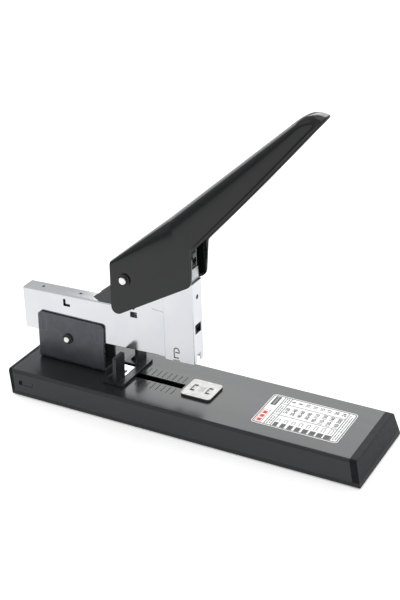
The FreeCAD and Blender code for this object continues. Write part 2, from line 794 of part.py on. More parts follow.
def in_handle(s, n):
    """A point given along and square to the handle's roof, in the head's own axes."""
    angle = math.radians(handle_angle - head_pitch)
    u = handle_pin_u + s * math.cos(angle) - n * math.sin(angle)
    w = handle_pin_w + s * math.sin(angle) + n * math.cos(angle)
    return u, w


def nose_curve(inset):
    """The roof's far end from its foot up to where it is level, as points on a quarter ellipse."""
    points = []
    for k in range(nose_steps + 1):
        turn = math.radians(90 * k / nose_steps)
        s = nose_start + (handle_nose - nose_start - inset) * math.cos(turn)
        n = handle_lip_at_tip + (handle_roof - handle_lip_at_tip - inset) * math.sin(turn)
        points.append((s, n + 0.4 * (1 - k / nose_steps)))
    return points


def lever_body(outline, inset):
    """A side outline given width: straight over the cheeks, tapering to a rounded tip, shoulders rounded."""
    half = handle_half - inset
    tip = handle_tip_half - inset
    deep = 90.0
    body = side_prism(outline, -half, half)
    nose = handle_nose - inset
    plan = [V(-deep, -half, -deep), V(handle_taper_start, -half, -deep), V(nose, -tip, -deep),
            V(nose, tip, -deep), V(handle_taper_start, half, -deep), V(-deep, half, -deep)]
    prism = Part.Face(Part.makePolygon(plan + [plan[0]])).extrude(V(0, 0, 2 * deep))
    prism = round_edges(prism, tip * 0.85, lambda c, e: c.x > nose_start + 1 and along(e, V(0, 0, 1)))
    body = body.common(prism).removeSplitter()
    roof = handle_roof - inset
    return round_edges(body, handle_roof_radius - inset, lambda c, e: c.z > roof - 0.02 and abs(c.y) > 6
                       and abs(e.Vertexes[0].Point.x - e.Vertexes[-1].Point.x) > 20)


def corner_edge(corner):
    """A test for the outline's corner edge that runs across the handle."""
    return lambda c, e: abs(c.x - corner[0]) < 0.01 and abs(c.z - corner[1]) < 0.01


def make_handle_shell():
    """Pressed steel handle: deep channel with pivot cheeks, tapering to a rounded nose."""
    outline = [(handle_rear, handle_roof), cheek_rear_corner, cheek_front_corner, cheek_neck,
               (nose_start, handle_lip_at_tip), (handle_nose, handle_lip_at_tip)]
    outside = lever_body(outline + nose_curve(0), 0)
    outside = round_edges(outside, cheek_rear_radius, corner_edge(cheek_rear_corner))
    outside = round_edges(outside, cheek_front_radius, corner_edge(cheek_front_corner))
    outside = round_edges(outside, cheek_neck_radius, corner_edge(cheek_neck))
    open_below = -70.0
    roof = handle_roof - handle_sheet
    channel = [(open_below, roof), (open_below, open_below), (handle_nose - handle_sheet, open_below)]
    shell = outside.cut(lever_body(channel + nose_curve(handle_sheet), handle_sheet))
    shell.rotate(V(0, 0, 0), V(0, 1, 0), -(handle_angle - head_pitch))
    shell.translate(V(handle_pin_u, 0, handle_pin_w))
    return shell.cut(rod_y(handle_pin_radius + fit_gap, -30, 30, handle_pin_u, handle_pin_w))


def make_press_yoke():
    """Two cheeks welded under the handle's roof that hold the press pin."""
    weld = handle_roof - handle_sheet - 0.05
    outline = [(press_u - 3.4, press_w), (press_u, press_w - 3.4), (press_u + 3.4, press_w)]
    outline += [(press_u - 2.6, press_w + 12.5), in_handle(60.0, weld), in_handle(47.0, weld)]
    cheek = side_prism(outline, yoke_half - yoke_sheet, yoke_half)
    bridge = side_prism([in_handle(47.0, weld), in_handle(60.0, weld), in_handle(60.0, weld - yoke_sheet),
                         in_handle(47.0, weld - yoke_sheet)], -yoke_half, yoke_half)
    yoke = joined(bridge, *both_sides(cheek))
    return yoke.cut(rod_y(press_pin_radius, -20, 20, press_u, press_w))


def make_press_pin():
    """Thick pin between the yoke's cheeks that bears on the driver's carriage."""
    wide = yoke_half - yoke_sheet - fit_gap
    middle = rod_y(press_radius, -wide, wide, press_u, press_w)
    through = rod_y(press_pin_radius, -yoke_half - 0.3, yoke_half + 0.3, press_u, press_w)
    return joined(middle, through)


def make_staple_rail():
    """Channel inside the magazine that the staples straddle."""
    outer = block(rod_rear, rail_front, -rail_half, rail_half, rail_bottom, rail_top)
    wall = rail_half - rail_sheet
    return outer.cut(block(rod_rear - 1, rail_front + 1, -wall, wall, rail_bottom - 1, rail_top - rail_sheet))


def make_end_block():
    """Block at the rear of the rail, with a finger recess to pull it out."""
    half = inner_half - slide_gap
    solid = block(end_block_rear, rod_rear, -half, half, head_bottom + 0.4, head_top - head_sheet - body_gap)
    grip = block(end_block_rear - 1, end_block_rear + 3, -half + 1.6, half - 1.6, 10, 24)
    return solid.cut([grip, rod_x(rod_radius, rod_rear - 3, rod_rear + 1, 0, rod_w)])


def make_staple_strip():
    """A strip of glued staples standing over the rail."""
    leg_bottom = strip_top - staple_leg
    inner = rail_half + slide_gap / 2
    outer = block(strip_rear, blade_back - body_gap, -crown_half, crown_half, leg_bottom, strip_top)
    return outer.cut(block(strip_rear - 1, plate_back, -inner, inner, leg_bottom - 1, strip_top - staple_wire))


def make_pusher():
    """Saddle that pushes the strip forward along the rail."""
    inner = rail_half + slide_gap
    solid = block(pusher_rear, pusher_front, -crown_half + 0.05, crown_half - 0.05, pusher_bottom, pusher_top)
    channel = block(pusher_rear - 1, pusher_front + 1, -inner, inner, pusher_bottom - 1, rail_top + slide_gap)
    return solid.cut([channel, rod_x(rod_radius + fit_gap, pusher_rear - 1, pusher_front + 1, 0, rod_w)])


def make_pusher_rod():
    """Rod that guides the pusher and its spring."""
    rod = rod_x(rod_radius, rod_rear - 3, rod_front, 0, rod_w)
    return rod


def make_pusher_spring():
    """Pusher's spring on its rod, as a plain sleeve."""
    u0 = rod_rear + 0.02
    u1 = pusher_rear - 0.02
    tube = rod_x(pusher_spring_radius, u0, u1, 0, rod_w)
    return tube.cut(rod_x(pusher_spring_radius - spring_wall, u0 - 1, u1 + 1, 0, rod_w))


def make_all():
    """Every node with its solid, in place."""
    handle_half_pin = handle_half + pin_end_stand
    pivot_half_pin = bracket_outer + pin_end_stand
    handle_pin = make_pin(handle_pin_radius, handle_half_pin, handle_pin_u, handle_pin_w)
    handle_rings = make_rings(handle_ring_radius, handle_pin_radius, handle_half, handle_pin_u, handle_pin_w)
    fixed = {
        "base_cover": make_base_cover(),
        "rear_end_cap": make_rear_cap(),
        "front_end_cap": make_front_cap(),
        "base_pan": make_base_pan(),
        "foot_mat": make_foot_mat(),
        "base_screws": make_base_screws(),
        "chart_label": make_chart_label(),
        "anvil_plate": make_anvil_plate(),
        "anvil_clip": make_anvil_clip(),
        "paper_stop": make_stop_body(),
        "stop_slide_plate": make_slide_plate(),
        "stop_screw": make_stop_screw(),
        "stop_clamp": make_stop_clamp(),
        "pivot_bracket": make_pivot_bracket(),
        "bracket_rivets": make_bracket_rivets(),
        "pivot_pin": make_pin(pivot_pin_radius, pivot_half_pin, pivot_x, pivot_z),
        "pivot_pin_rings": make_rings(ring_radius, pivot_pin_radius, bracket_outer, pivot_x, pivot_z),
        "lift_spring": make_lift_spring(),
    }
    on_head = {
        "head_casing": make_head_casing(),
        "front_housing": make_front_housing(),
        "lift_spring_seat": make_lift_seat(),
        "lever_bracket": make_lever_bracket(),
        "lever_rivets": make_lever_rivets(),
        "handle_pin": handle_pin,
        "handle_pin_rings": handle_rings,
        "handle_pin_bushes": make_pin_bushes(),
        "return_spring_seat": make_return_seat(),
        "spring_post": make_spring_post(),
        "return_spring": make_return_spring(),
        "driver_blade": make_driver_blade(),
        "driver_carriage": make_driver_carriage(),
        "handle_shell": make_handle_shell(),
        "press_yoke": make_press_yoke(),
        "press_pin": make_press_pin(),
        "staple_rail": make_staple_rail(),
        "rail_end_block": make_end_block(),
        "staple_strip": make_staple_strip(),
        "pusher": make_pusher(),
        "pusher_rod": make_pusher_rod(),
        "pusher_spring": make_pusher_spring(),
    }
    placed = {node: in_head(shape) for node, shape in on_head.items()}
    return {**fixed, **placed}


os.makedirs("parts", exist_ok=True)
for node, shape in make_all().items():
    save(node, shape)
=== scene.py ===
"""Long-lever desk stapler: painted base and lever, plated head, coiled springs, staples, chart and marks.
Metres, +Z up, +X from the rear of the base towards its front, origin under the middle of the foot mat."""
import json
import math

import bmesh
import bpy
import numpy as np
from bpy.props import FloatProperty, FloatVectorProperty, IntProperty, PointerProperty
from bpy.types import Operator, Panel, PropertyGroup
from mathutils import Matrix, Vector


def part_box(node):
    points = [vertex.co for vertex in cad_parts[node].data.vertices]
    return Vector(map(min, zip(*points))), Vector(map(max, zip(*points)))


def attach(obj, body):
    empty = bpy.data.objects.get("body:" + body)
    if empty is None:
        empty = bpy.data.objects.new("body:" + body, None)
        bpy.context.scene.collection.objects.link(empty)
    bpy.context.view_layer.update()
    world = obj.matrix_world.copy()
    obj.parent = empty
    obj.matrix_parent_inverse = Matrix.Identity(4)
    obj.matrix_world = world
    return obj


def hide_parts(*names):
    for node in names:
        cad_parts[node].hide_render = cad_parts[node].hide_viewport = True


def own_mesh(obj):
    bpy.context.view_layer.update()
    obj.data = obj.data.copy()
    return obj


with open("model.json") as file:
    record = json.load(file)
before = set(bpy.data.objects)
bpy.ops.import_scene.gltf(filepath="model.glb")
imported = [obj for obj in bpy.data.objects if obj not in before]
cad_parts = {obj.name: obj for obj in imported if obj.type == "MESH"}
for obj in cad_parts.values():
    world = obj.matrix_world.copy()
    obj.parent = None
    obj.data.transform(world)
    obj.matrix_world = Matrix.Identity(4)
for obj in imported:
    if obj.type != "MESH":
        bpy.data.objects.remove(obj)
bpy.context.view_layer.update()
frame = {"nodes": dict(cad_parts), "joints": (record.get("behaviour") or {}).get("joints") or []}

bl_info = {
    "name": "Lever Stapler",
    "version": (1, 0, 0),
    "blender": (4, 5, 0),
    "location": "3D View > Sidebar > Stapler",
    "description": "Builds the finished pieces of a long-lever desk stapler around its frame",
    "category": "Object",
}

MM = 0.001
JOINTS = {joint["name"]: joint for joint in frame["joints"]}
HEAD_PIVOT = np.array(JOINTS["head_swing"]["pos_m"])
HANDLE_PIN = np.array(JOINTS["handle_press"]["pos_m"])
HEAD_UP = -np.array(JOINTS["driver_slide"]["axis"])
HEAD_ALONG = np.array((HEAD_UP[2], 0.0, -HEAD_UP[0]))
ACROSS = np.array((0.0, 1.0, 0.0))
MERGE = 0.02 * MM  # doubles closer than this are one point
COIL_STEPS = 22  # points of wire in one turn
WIRE_SIDES = 8  # of a staple


def length(name, description, default):
    """A length the user can change, in metres."""
    return FloatProperty(name=name, description=description, default=default, min=0.0, unit="LENGTH",
                         subtype="DISTANCE", precision=5)


def colour(name, description, default):
    """A colour the user can change."""
    return FloatVectorProperty(name=name, description=description, default=(*default, 1.0), size=4,
                               min=0.0, max=1.0, subtype="COLOR")


def angle(name, description, default):
    """An angle the user can change, given here in degrees."""
    return FloatProperty(name=name, description=description, default=math.radians(default), unit="ROTATION",
                         subtype="ANGLE")


# ---- sizes and colours ----


class StaplerLever(PropertyGroup):
    """Sizes of the pressed steel lever; along and across its roof, from the handle pin."""

    rise: angle("Rise", "Slope of the roof at rest", 41.3)
    roof: length("Roof height", "Roof above the pin", 17.4 * MM)
    roof_climb: length("Roof climb", "How much the roof rises from the cheeks to the tip", 2.6 * MM)
    half: length("Half width", "Half width over the cheeks", 13.2 * MM)
    tip_half: length("Tip half width", "Half width where the nose begins", 9.0 * MM)
    nose_start: length("Nose start", "Where the roof begins to bend down", 190.0 * MM)
    nose_end: length("Nose end", "Furthest point of the nose", 208.6 * MM)
    nose_height: length("Nose height", "Height of the nose's furthest point", 9.0 * MM)
    shoulder: length("Shoulder", "Radius between roof and cheek at the rear", 2.4 * MM)
    arch_width: length("Arch width", "How far the arched side leans in, in front of the cheeks", 10.0 * MM)
    arch_height: length("Arch height", "Height of the arched side in front of the cheeks", 24.0 * MM)
    tip_width: length("Tip arch width", "How far the arched side leans in at the tip", 5.6 * MM)
    tip_height: length("Tip arch height", "Height of the arched side at the tip", 6.4 * MM)
    sheet: length("Sheet", "Thickness of the steel", 1.5 * MM)
    bead: length("Bead", "How far the rolled lip stands out", 0.75 * MM)
    paint: colour("Paint", "Gloss paint of the lever", (0.007, 0.0073, 0.008))


class StaplerSprings(PropertyGroup):
    """Wire sizes and turns of the three springs."""

    lift_wire: length("Lift wire", "Wire radius of the lift spring", 0.55 * MM)
    lift_turns: IntProperty(name="Lift turns", description="Turns of the lift spring", default=8, min=2)
    return_wire: length("Return wire", "Wire radius of the return spring", 0.45 * MM)
    return_turns: IntProperty(name="Return turns", description="Turns of the return spring", default=10,
                              min=2)
    pusher_wire: length("Pusher wire", "Wire radius of the pusher spring", 0.32 * MM)
    pusher_turns: IntProperty(name="Pusher turns", description="Turns of the pusher spring", default=32,
                              min=2)
    steel: colour("Spring steel", "Oiled spring wire", (0.33, 0.32, 0.30))


class StaplerStaples(PropertyGroup):
    """Sizes of one staple."""

    wire: length("Wire width", "Width of the flattened wire along the strip", 0.84 * MM)
    pitch: length("Pitch", "Distance from staple to staple", 0.9 * MM)
    depth: length("Wire depth", "Thickness of the wire", 0.6 * MM)
    corner: length("Corner", "Radius of the staple's shoulders", 0.9 * MM)
    colour: colour("Staple wire", "Galvanised staple wire", (0.66, 0.67, 0.69))


class StaplerBase(PropertyGroup):
    """Paint of the base and the scale on its top."""

    paint: colour("Base paint", "Dark grey paint", (0.022, 0.0235, 0.026))
    plastic: colour("Cap plastic", "Moulded end caps", (0.010, 0.011, 0.0135))
    tick_pitch: length("Tick pitch", "Distance from tick to tick", 4.5 * MM)
    tick_length: length("Tick length", "Length of each tick", 9.0 * MM)
    tick_width: length("Tick width", "Width of each tick", 0.7 * MM)
    tick_count: IntProperty(name="Ticks", description="Ticks on each side of the slot", default=9, min=1)


class StaplerChart(PropertyGroup):
    """Printed staple chart."""

    black: colour("Black ink", "Lines and numbers", (0.016, 0.016, 0.018))
    grey: colour("Grey ink", "Paper blocks and small print", (0.09, 0.09, 0.095))
    red: colour("Red ink", "Framed box", (0.62, 0.045, 0.04))
    ink: length("Ink height", "Thickness of the print", 0.02 * MM)
    line: length("Line", "Width of the table's lines", 0.55 * MM)


class StaplerStage(PropertyGroup):
    """Floor, lights and camera."""

    floor: colour("Floor", "Pale floor", (0.93, 0.93, 0.93))
    floor_glow: FloatProperty(name="Floor glow", description="Even light from the floor", default=0.3,
                              min=0.0)
    sky: FloatProperty(name="Sky", description="Strength of the room's light", default=0.72, min=0.0)
    azimuth: angle("Azimuth", "Camera's turn about the vertical", 27.22)
    elevation: angle("Elevation", "Camera's height above the horizon", 26.34)
    distance: length("Distance", "Camera's distance from the base", 1047.0 * MM)
    side_step: length("Side step", "Camera's step to its right", 3.4 * MM)
    rise: length("Rise", "Camera's step along its own up", 68.1 * MM)
    lens: FloatProperty(name="Lens", description="Focal length in millimetres", default=82.86, min=10.0)


SETTINGS = {
    "stapler_lever": StaplerLever,
    "stapler_springs": StaplerSprings,
    "stapler_staples": StaplerStaples,
    "stapler_base": StaplerBase,
    "stapler_chart": StaplerChart,
    "stapler_stage": StaplerStage,
}


# ---- materials ----

ROUND = (1.0, 1.0, 1.0)
NOISE_ROUGHNESS = 0.55
FLAT_COSINE, EDGE_COSINE = 0.995, 0.80  # between a face's normal and the rounded one

# Sizes are in millimetres. tones, and the tone along edges, are shares of the base colour, one or three; the tone
# along edges is painted light, a painted highlight where it is lighter and painted shade where it is darker.
# grain is the size of the colour's blotches and reach the width of the painted light along edges; rough is (size,
# low, high, stretch) and a bump (size, height, stretch). rounding is the radius that sharp edges seem to have.
FINISHES = {
    # fine flakes, faint roller streaks, orange peel, painted highlight along edges
    "cover_paint": dict(
        name="dark_grey_stoving_paint", base="stapler_base.paint", tones=(0.9, 1.12), grain=0.35, edge=3.0,
        rough=(14, 0.21, 0.27, (0.06, 1.0, 1.0)), bumps=[(1.6, 0.012), (0.25, 0.004)], rounding=0.3,
        metallic=0.05, roughness=0.22, Specular_IOR_Level=0.27, Coat_Weight=0.2, Coat_Roughness=0.12),
    # finely spark-eroded moulding of the end caps, painted highlight along edges
    "cap_plastic": dict(
        name="black_cap_moulding", base="stapler_base.plastic", tones=(0.85, 1.2), grain=2.5, edge=2.4,
        rough=(4, 0.32, 0.42), bumps=[(0.3, 0.014)], rounding=0.5, roughness=0.34, Specular_IOR_Level=0.08),
    # matt moulding of the closing pan
    "pan_plastic": dict(
        name="matt_pan_moulding", base=(0.008, 0.0085, 0.009), tones=(0.85, 1.3), grain=3,
        bumps=[(0.35, 0.02)], rounding=0.4, roughness=0.62),
    # matt foam with a fine cell
    "mat_rubber": dict(
        name="foam_rubber", base=(0.013, 0.013, 0.013), tones=(0.7, 1.5), grain=0.5, bumps=[(0.6, 0.06)],
        roughness=0.9, Sheen_Weight=0.15),
    # white satin film
    "label_film": dict(
        name="white_label_film", base=(0.88, 0.88, 0.875), tones=(0.97, 1.02), grain=9, bumps=[(3, 0.008)],
        roughness=0.38, Coat_Weight=0.15, Coat_Roughness=0.2),
    # satin slate coat of the pivot bracket, painted highlight along edges
    "bracket_paint": dict(
        name="slate_powder_coat", base=(0.055, 0.061, 0.071), tones=(0.9, 1.15), grain=6, edge=3.5, reach=0.6,
        rough=(9, 0.36, 0.46), bumps=[(0.7, 0.018)], rounding=0.5, metallic=0.3, roughness=0.32,
        Coat_Weight=0.25, Coat_Roughness=0.2),
    # pins, rivets and screws, with turning lines
    "bright_steel": dict(
        name="turned_steel", base=(0.78, 0.77, 0.75), tones=(0.9, 1.05), grain=1.5, rough=(1.2, 0.2, 0.36),
        bumps=[(0.3, 0.004, (1.0, 0.2, 1.0))], rounding=0.3, metallic=1.0, roughness=0.25),
    # retaining rings, painted highlight along edges
    "black_ring": dict(
        name="black_oxide", base=(0.012, 0.012, 0.013), tones=(0.8, 1.5), grain=1.0, edge=4.0, reach=0.25,
        bumps=[(0.5, 0.01)], rounding=0.25, metallic=0.4, roughness=0.4),
    # oiled wire with fine drawing lines
    "spring_steel": dict(
        name="oiled_spring_wire", base="stapler_springs.steel", tones=(0.75, 1.2), grain=1.3,
        bumps=[(0.3, 0.006)], metallic=1.0, roughness=0.33),
    # the anvil's dulled nickel, finely tumbled
    "nickel_plate": dict(
        name="bright_nickel", base=(0.32, 0.318, 0.312), tones=(0.96, 1.03), grain=4, rough=(2.5, 0.3, 0.42),
        bumps=[(0.7, 0.004)], rounding=0.35, metallic=1.0, roughness=0.3),
    # smooth blue-black moulding of the paper stop, painted highlight along edges
    "stop_plastic": dict(
        name="black_stop_moulding", base=(0.011, 0.012, 0.0145), tones=(0.85, 1.25), grain=3, edge=3.2,
        reach=0.4, rough=(5, 0.3, 0.42), bumps=[(0.5, 0.006)], rounding=0.4, roughness=0.34),
    # faint spangle, rolling streaks, a cool cast, and painted shade darkening the edges
    "zinc_plate": dict(
        name="bright_zinc_plate", base=(0.60, 0.608, 0.622), tones=((0.95, 0.965, 0.99), 1.03), grain=16,
        stretch=(0.6, 1.0, 0.5), edge=(0.30 / 0.60, 0.31 / 0.608, 0.33 / 0.622), reach=0.35,
        rough=(7, 0.12, 0.18, (0.12, 1.0, 1.0)), rounding=0.3, metallic=1.0, roughness=0.14,
        bumps=[(9, 0.012, (0.3, 1.0, 1.0)), (0.4, 0.001, (0.1, 1.0, 1.0))]),
    # enamel of the small bracket under the handle, painted highlight along edges
    "lever_paint": dict(
        name="black_bracket_enamel", base=(0.014, 0.0145, 0.017), tones=(0.85, 1.2), grain=5, edge=3.0,
        bumps=[(1.1, 0.012)], rounding=0.4, roughness=0.32, Coat_Weight=0.4, Coat_Roughness=0.15),
    # ground and oiled, with grinding lines
    "tool_steel": dict(
        name="ground_tool_steel", base=(0.42, 0.42, 0.43), tones=(0.85, 1.1), grain=3, stretch=(1.0, 0.15, 1.0),
        bumps=[(0.3, 0.004, (1.0, 0.08, 1.0))], rounding=0.3, metallic=1.0, roughness=0.3),
    # gloss enamel of the lever, with faint orange peel and painted highlight along edges
    "handle_paint": dict(
        name="black_gloss_enamel", base="stapler_lever.paint", tones=(0.88, 1.15), grain=18, edge=2.6,
        reach=0.6, rough=(22, 0.14, 0.19), bumps=[(2.2, 0.008), (0.6, 0.002)], roughness=0.16,
        Specular_IOR_Level=0.34, Coat_Weight=0.1, Coat_Roughness=0.08),
    # galvanised wire held by clear glue
    "staple_wire": dict(
        name="galvanised_wire", base="stapler_staples.colour", tones=(0.85, 1.1), grain=1.5,
        bumps=[(0.4, 0.006)], metallic=1.0, roughness=0.32, Coat_Weight=0.3),
}
made_finishes = {}


def new_finish(name, base, metallic=0.0, roughness=0.5, **sockets):
    """A material with one Principled shader; other sockets are named with underscores."""
    material = bpy.data.materials.new(name)
    material.use_nodes = True
    inputs = shader_of(material).inputs
    inputs["Base Color"].default_value = (*base[:3], 1.0)
    inputs["Metallic"].default_value = metallic
    inputs["Roughness"].default_value = roughness
    for socket, value in sockets.items():
        inputs[socket.replace("_", " ")].default_value = value
    return material


def shader_of(material):
    """The material's Principled shader."""
    return material.node_tree.nodes["Principled BSDF"]


def add_node(owner, kind, inputs=None, **settings):
    """One more node of a material or of the world, with its settings and its unlinked values."""
    node = owner.node_tree.nodes.new("ShaderNode" + kind)
    for key, value in settings.items():
        setattr(node, key, value)
    for socket, value in (inputs or {}).items():
        node.inputs[socket].default_value = value
    return node


def wire(owner, source, target):
    """Links one socket to another."""
    owner.node_tree.links.new(source, target)


def add_ramp(owner, *stops):
    """A colour ramp with a stop for each (position, colour)."""
    ramp = add_node(owner, "ValToRGB")
    elements = ramp.color_ramp.elements
    for position, _ in stops[1:-1]:
        elements.new(position)
    for element, (position, tone) in zip(elements, stops):
        element.position = position
        element.color = (*tone[:3], 1.0)
    return ramp


def shade(base, factor):
    """A colour made lighter or darker, by one factor or by one for each channel."""
    return tuple(min(1.0, channel * share) for channel, share in zip(base, np.broadcast_to(factor, 3)))


def object_noise(material, size, stretch=ROUND, detail=3.0):
    """The value of a noise on Object coordinates whose blotches are about size across, in metres."""
    place = add_node(material, "TexCoord")
    scale = add_node(material, "Mapping", {"Scale": stretch})
    noise = add_node(material, "TexNoise", {"Scale": 1.0 / size, "Detail": detail, "Roughness": NOISE_ROUGHNESS})
    wire(material, place.outputs["Object"], scale.inputs["Vector"])
    wire(material, scale.outputs["Vector"], noise.inputs["Vector"])
    return noise.outputs["Fac"]


def vary_roughness(material, size, low, high, stretch=ROUND):
    """Roughness that wanders between two values over the noise's middle range."""
    spread = add_node(material, "MapRange", {"From Min": 0.3, "From Max": 0.7, "To Min": low, "To Max": high})
    wire(material, object_noise(material, size, stretch), spread.inputs["Value"])
    wire(material, spread.outputs["Result"], shader_of(material).inputs["Roughness"])


def edge_mask(material, reach):
    """0 on flat faces and up to 1 near edges: how far the rounded normal leans from the face's own. It places the
    painted light along edges.
    """
    bevel = add_node(material, "Bevel", {"Radius": reach}, samples=4)
    face = add_node(material, "NewGeometry")
    dot = add_node(material, "VectorMath", operation="DOT_PRODUCT")
    wire(material, bevel.outputs["Normal"], dot.inputs[0])
    wire(material, face.outputs["True Normal"], dot.inputs[1])
    spread = add_node(material, "MapRange", {"From Min": FLAT_COSINE, "From Max": EDGE_COSINE,
                                             "To Min": 0.0, "To Max": 1.0})
    wire(material, dot.outputs["Value"], spread.inputs["Value"])
    return spread.outputs["Result"]


def two_tone(material, first, second, size, stretch=ROUND, edge=None, reach=None):
    """Base colour that wanders between two tones and, where a tone for edges is given, turns to it near edges:
    painted light, a painted highlight where lighter and painted shade where darker.
    """
    ramp = add_ramp(material, (0.35, first), (0.68, second))
    wire(material, object_noise(material, size, stretch, 4.0), ramp.inputs["Fac"])
    result = ramp.outputs["Color"]
    if edge is not None:
        mix = add_node(material, "Mix", data_type="RGBA")
        wire(material, edge_mask(material, reach), mix.inputs["Factor"])
        wire(material, result, mix.inputs["A"])
        mix.inputs["B"].default_value = (*edge, 1.0)
        result = mix.outputs["Result"]
    wire(material, result, shader_of(material).inputs["Base Color"])


def relief(material, bumps, rounding):
    """Bumps stacked into the shader's normal, over edges that are rounded where a radius is given."""
    normal = None
    if rounding is not None:
        normal = add_node(material, "Bevel", {"Radius": rounding * MM}, samples=6).outputs["Normal"]
    for size, height, *stretch in bumps:
        bump = add_node(material, "Bump", {"Strength": 1.0, "Distance": height * MM})
        wire(material, object_noise(material, size * MM, *stretch), bump.inputs["Height"])
        if normal is not None:
            wire(material, normal, bump.inputs["Normal"])
        normal = bump.outputs["Normal"]
    wire(material, normal, shader_of(material).inputs["Normal"])


def coat(context, name, base, tones, grain, bumps, stretch=ROUND, edge=None, reach=0.5, rough=None,
         rounding=None, **shader):
    """The material of one entry of FINISHES."""
    if isinstance(base, str):
        group, key = base.split(".")
        base = getattr(getattr(context.scene, group), key)
    material = new_finish(name, base, **shader)
    # near edges the base colour turns to the edges' tone: painted light, a painted highlight on most finishes and
    # painted shade on the zinc
    two_tone(material, shade(base, tones[0]), shade(base, tones[1]), grain * MM, stretch,
             None if edge is None else shade(base, edge), reach * MM)
    if rough is not None:
        vary_roughness(material, rough[0] * MM, *rough[1:])
    relief(material, bumps, rounding)
    return material


def ink(name, base):
    """A flat matt colour, slightly uneven: screen-printed ink and etched turning marks, and painted shade on the
    ticks, in the anvil's pockets and behind the slits.
    """
    material = new_finish(name, base, roughness=0.55)
    two_tone(material, shade(base, 0.85), shade(base, 1.2), 0.8 * MM)
    return material


def finish_of(context, slot):
    """The material of one of the record's slots, made once."""
    if slot not in made_finishes:
        made_finishes[slot] = coat(context, **FINISHES[slot])
    return made_finishes[slot]


# ---- meshes ----


def grid_faces(rows, columns, wrap_rows=False, wrap_columns=False):
    """Quads of a rows x columns grid of points counted row by row; a wrapped side joins last to first."""
    row = np.arange(rows if wrap_rows else rows - 1)
    column = np.arange(columns if wrap_columns else columns - 1)
    row, column = (part.ravel() for part in np.meshgrid(row, column, indexing="ij"))
    next_row = (row + 1) % rows
    next_column = (column + 1) % columns
    return np.stack([row * columns + column, row * columns + next_column,
                     next_row * columns + next_column, next_row * columns + column], 1)


def capped_run(rings):
    """Points and faces of a run of closed rings, given as an array of rings x points x 3: each ring is joined
    to the next, and the first and the last are capped."""
    rows, columns = rings.shape[:2]
    last = (rows - 1) * columns
    faces = grid_faces(rows, columns, wrap_columns=True).tolist()
    faces += [list(range(columns)), list(range(last, last + columns))]
    return rings.reshape(-1, 3), faces


def gather(parts):
    """The points and faces of many parts as one set."""
    points = []
    faces = []
    for part_points, part_faces in parts:
        first = len(points)
        points += np.asarray(part_points).tolist()
        faces += [[first + int(k) for k in face] for face in part_faces]
    return points, faces


def outward_mesh(name, points, faces, merge=None):
    """A mesh from points and faces, its doubles merged where a distance is given, its normals outwards."""
    mesh = bpy.data.meshes.new(name)
    mesh.from_pydata(np.asarray(points, float).reshape(-1, 3).tolist(), [], [list(face) for face in faces])
    shell = bmesh.new()
    shell.from_mesh(mesh)
    if merge is not None:
        bmesh.ops.remove_doubles(shell, verts=shell.verts, dist=merge)
    bmesh.ops.recalc_face_normals(shell, faces=shell.faces)
    shell.to_mesh(mesh)
    shell.free()
    return mesh


def add_piece(name, points, faces, material, body, smooth=40.0, merge=None):
    """A piece made from points and faces, riding on its body."""
    return add_object(name, outward_mesh(name, points, faces, merge), material, body, smooth)


def add_object(name, mesh, material, body, smooth=40.0):
    """An object at the origin for a finished mesh, riding on its body."""
    mesh.materials.clear()
    mesh.materials.append(material)
    mesh.shade_smooth()
    piece = bpy.data.objects.new(name, mesh)
    bpy.context.scene.collection.objects.link(piece)
    mesh.set_sharp_from_angle(angle=math.radians(smooth))
    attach(piece, body)
    return piece


def boxes(corners):
    """Points and faces of many boxes from an array of (x0, x1, y0, y1, z0, z1)."""
    corners = np.asarray(corners, float)
    picks = np.array([(x, 2 + y, 4 + z) for z in (0, 1) for y in (0, 1) for x in (0, 1)])
    sides = np.array([(0, 2, 3, 1), (4, 5, 7, 6), (0, 1, 5, 4), (1, 3, 7, 5), (3, 2, 6, 7), (2, 0, 4, 6)])
    faces = sides[None] + 8 * np.arange(len(corners))[:, None, None]
    return corners[:, picks].reshape(-1, 3), faces.reshape(-1, 4)


def on_head(u, y, w):
    """Points at u along, y across and w up the head, whose axes start at its pivot."""
    u, y, w = np.broadcast_arrays(u, y, w)
    points = HEAD_PIVOT + u[..., None] * HEAD_ALONG + w[..., None] * HEAD_UP
    points[..., 1] = y
    return points


def directions(path):
    """The unit direction of a path at each of its points."""
    ahead = np.gradient(path, axis=0)
    return ahead / np.linalg.norm(ahead, axis=1)[:, None]


def tube(path, side, up, radius, around=10):
    """A round wire along a path: a circle in the plane of side and up at every point, its ends capped."""
    turn = np.linspace(0, 2 * np.pi, around, endpoint=False)
    ring = np.cos(turn)[None, :, None] * side[:, None] + np.sin(turn)[None, :, None] * up[:, None]
    return capped_run(path[:, None] + radius * ring)


def coil(start, axis, height, radius, wire_radius, turns):
    """A compression spring. At share t of the wire the turn angle is 2 pi turns t, and the height is t eased
    so that the first and last turn lie flat; the wire's circle stands square to the turning direction."""
    t = np.linspace(0, 1, turns * COIL_STEPS)
    dead = 1.0 / turns
    live = np.clip((t - dead) / (1 - 2 * dead), 0, 1)
    ends = np.clip(t / dead, 0, 1) + np.clip((t - 1 + dead) / dead, 0, 1)
    rise = wire_radius * (1 + ends) + (height - 4 * wire_radius) * live
    turn = (2 * np.pi * turns * t)[:, None]
    out = np.cos(turn) * ACROSS + np.sin(turn) * np.cross(axis, ACROSS)
    path = np.asarray(start) + out * (radius - wire_radius) + rise[:, None] * axis
    return tube(path, out, np.broadcast_to(axis, out.shape), wire_radius)


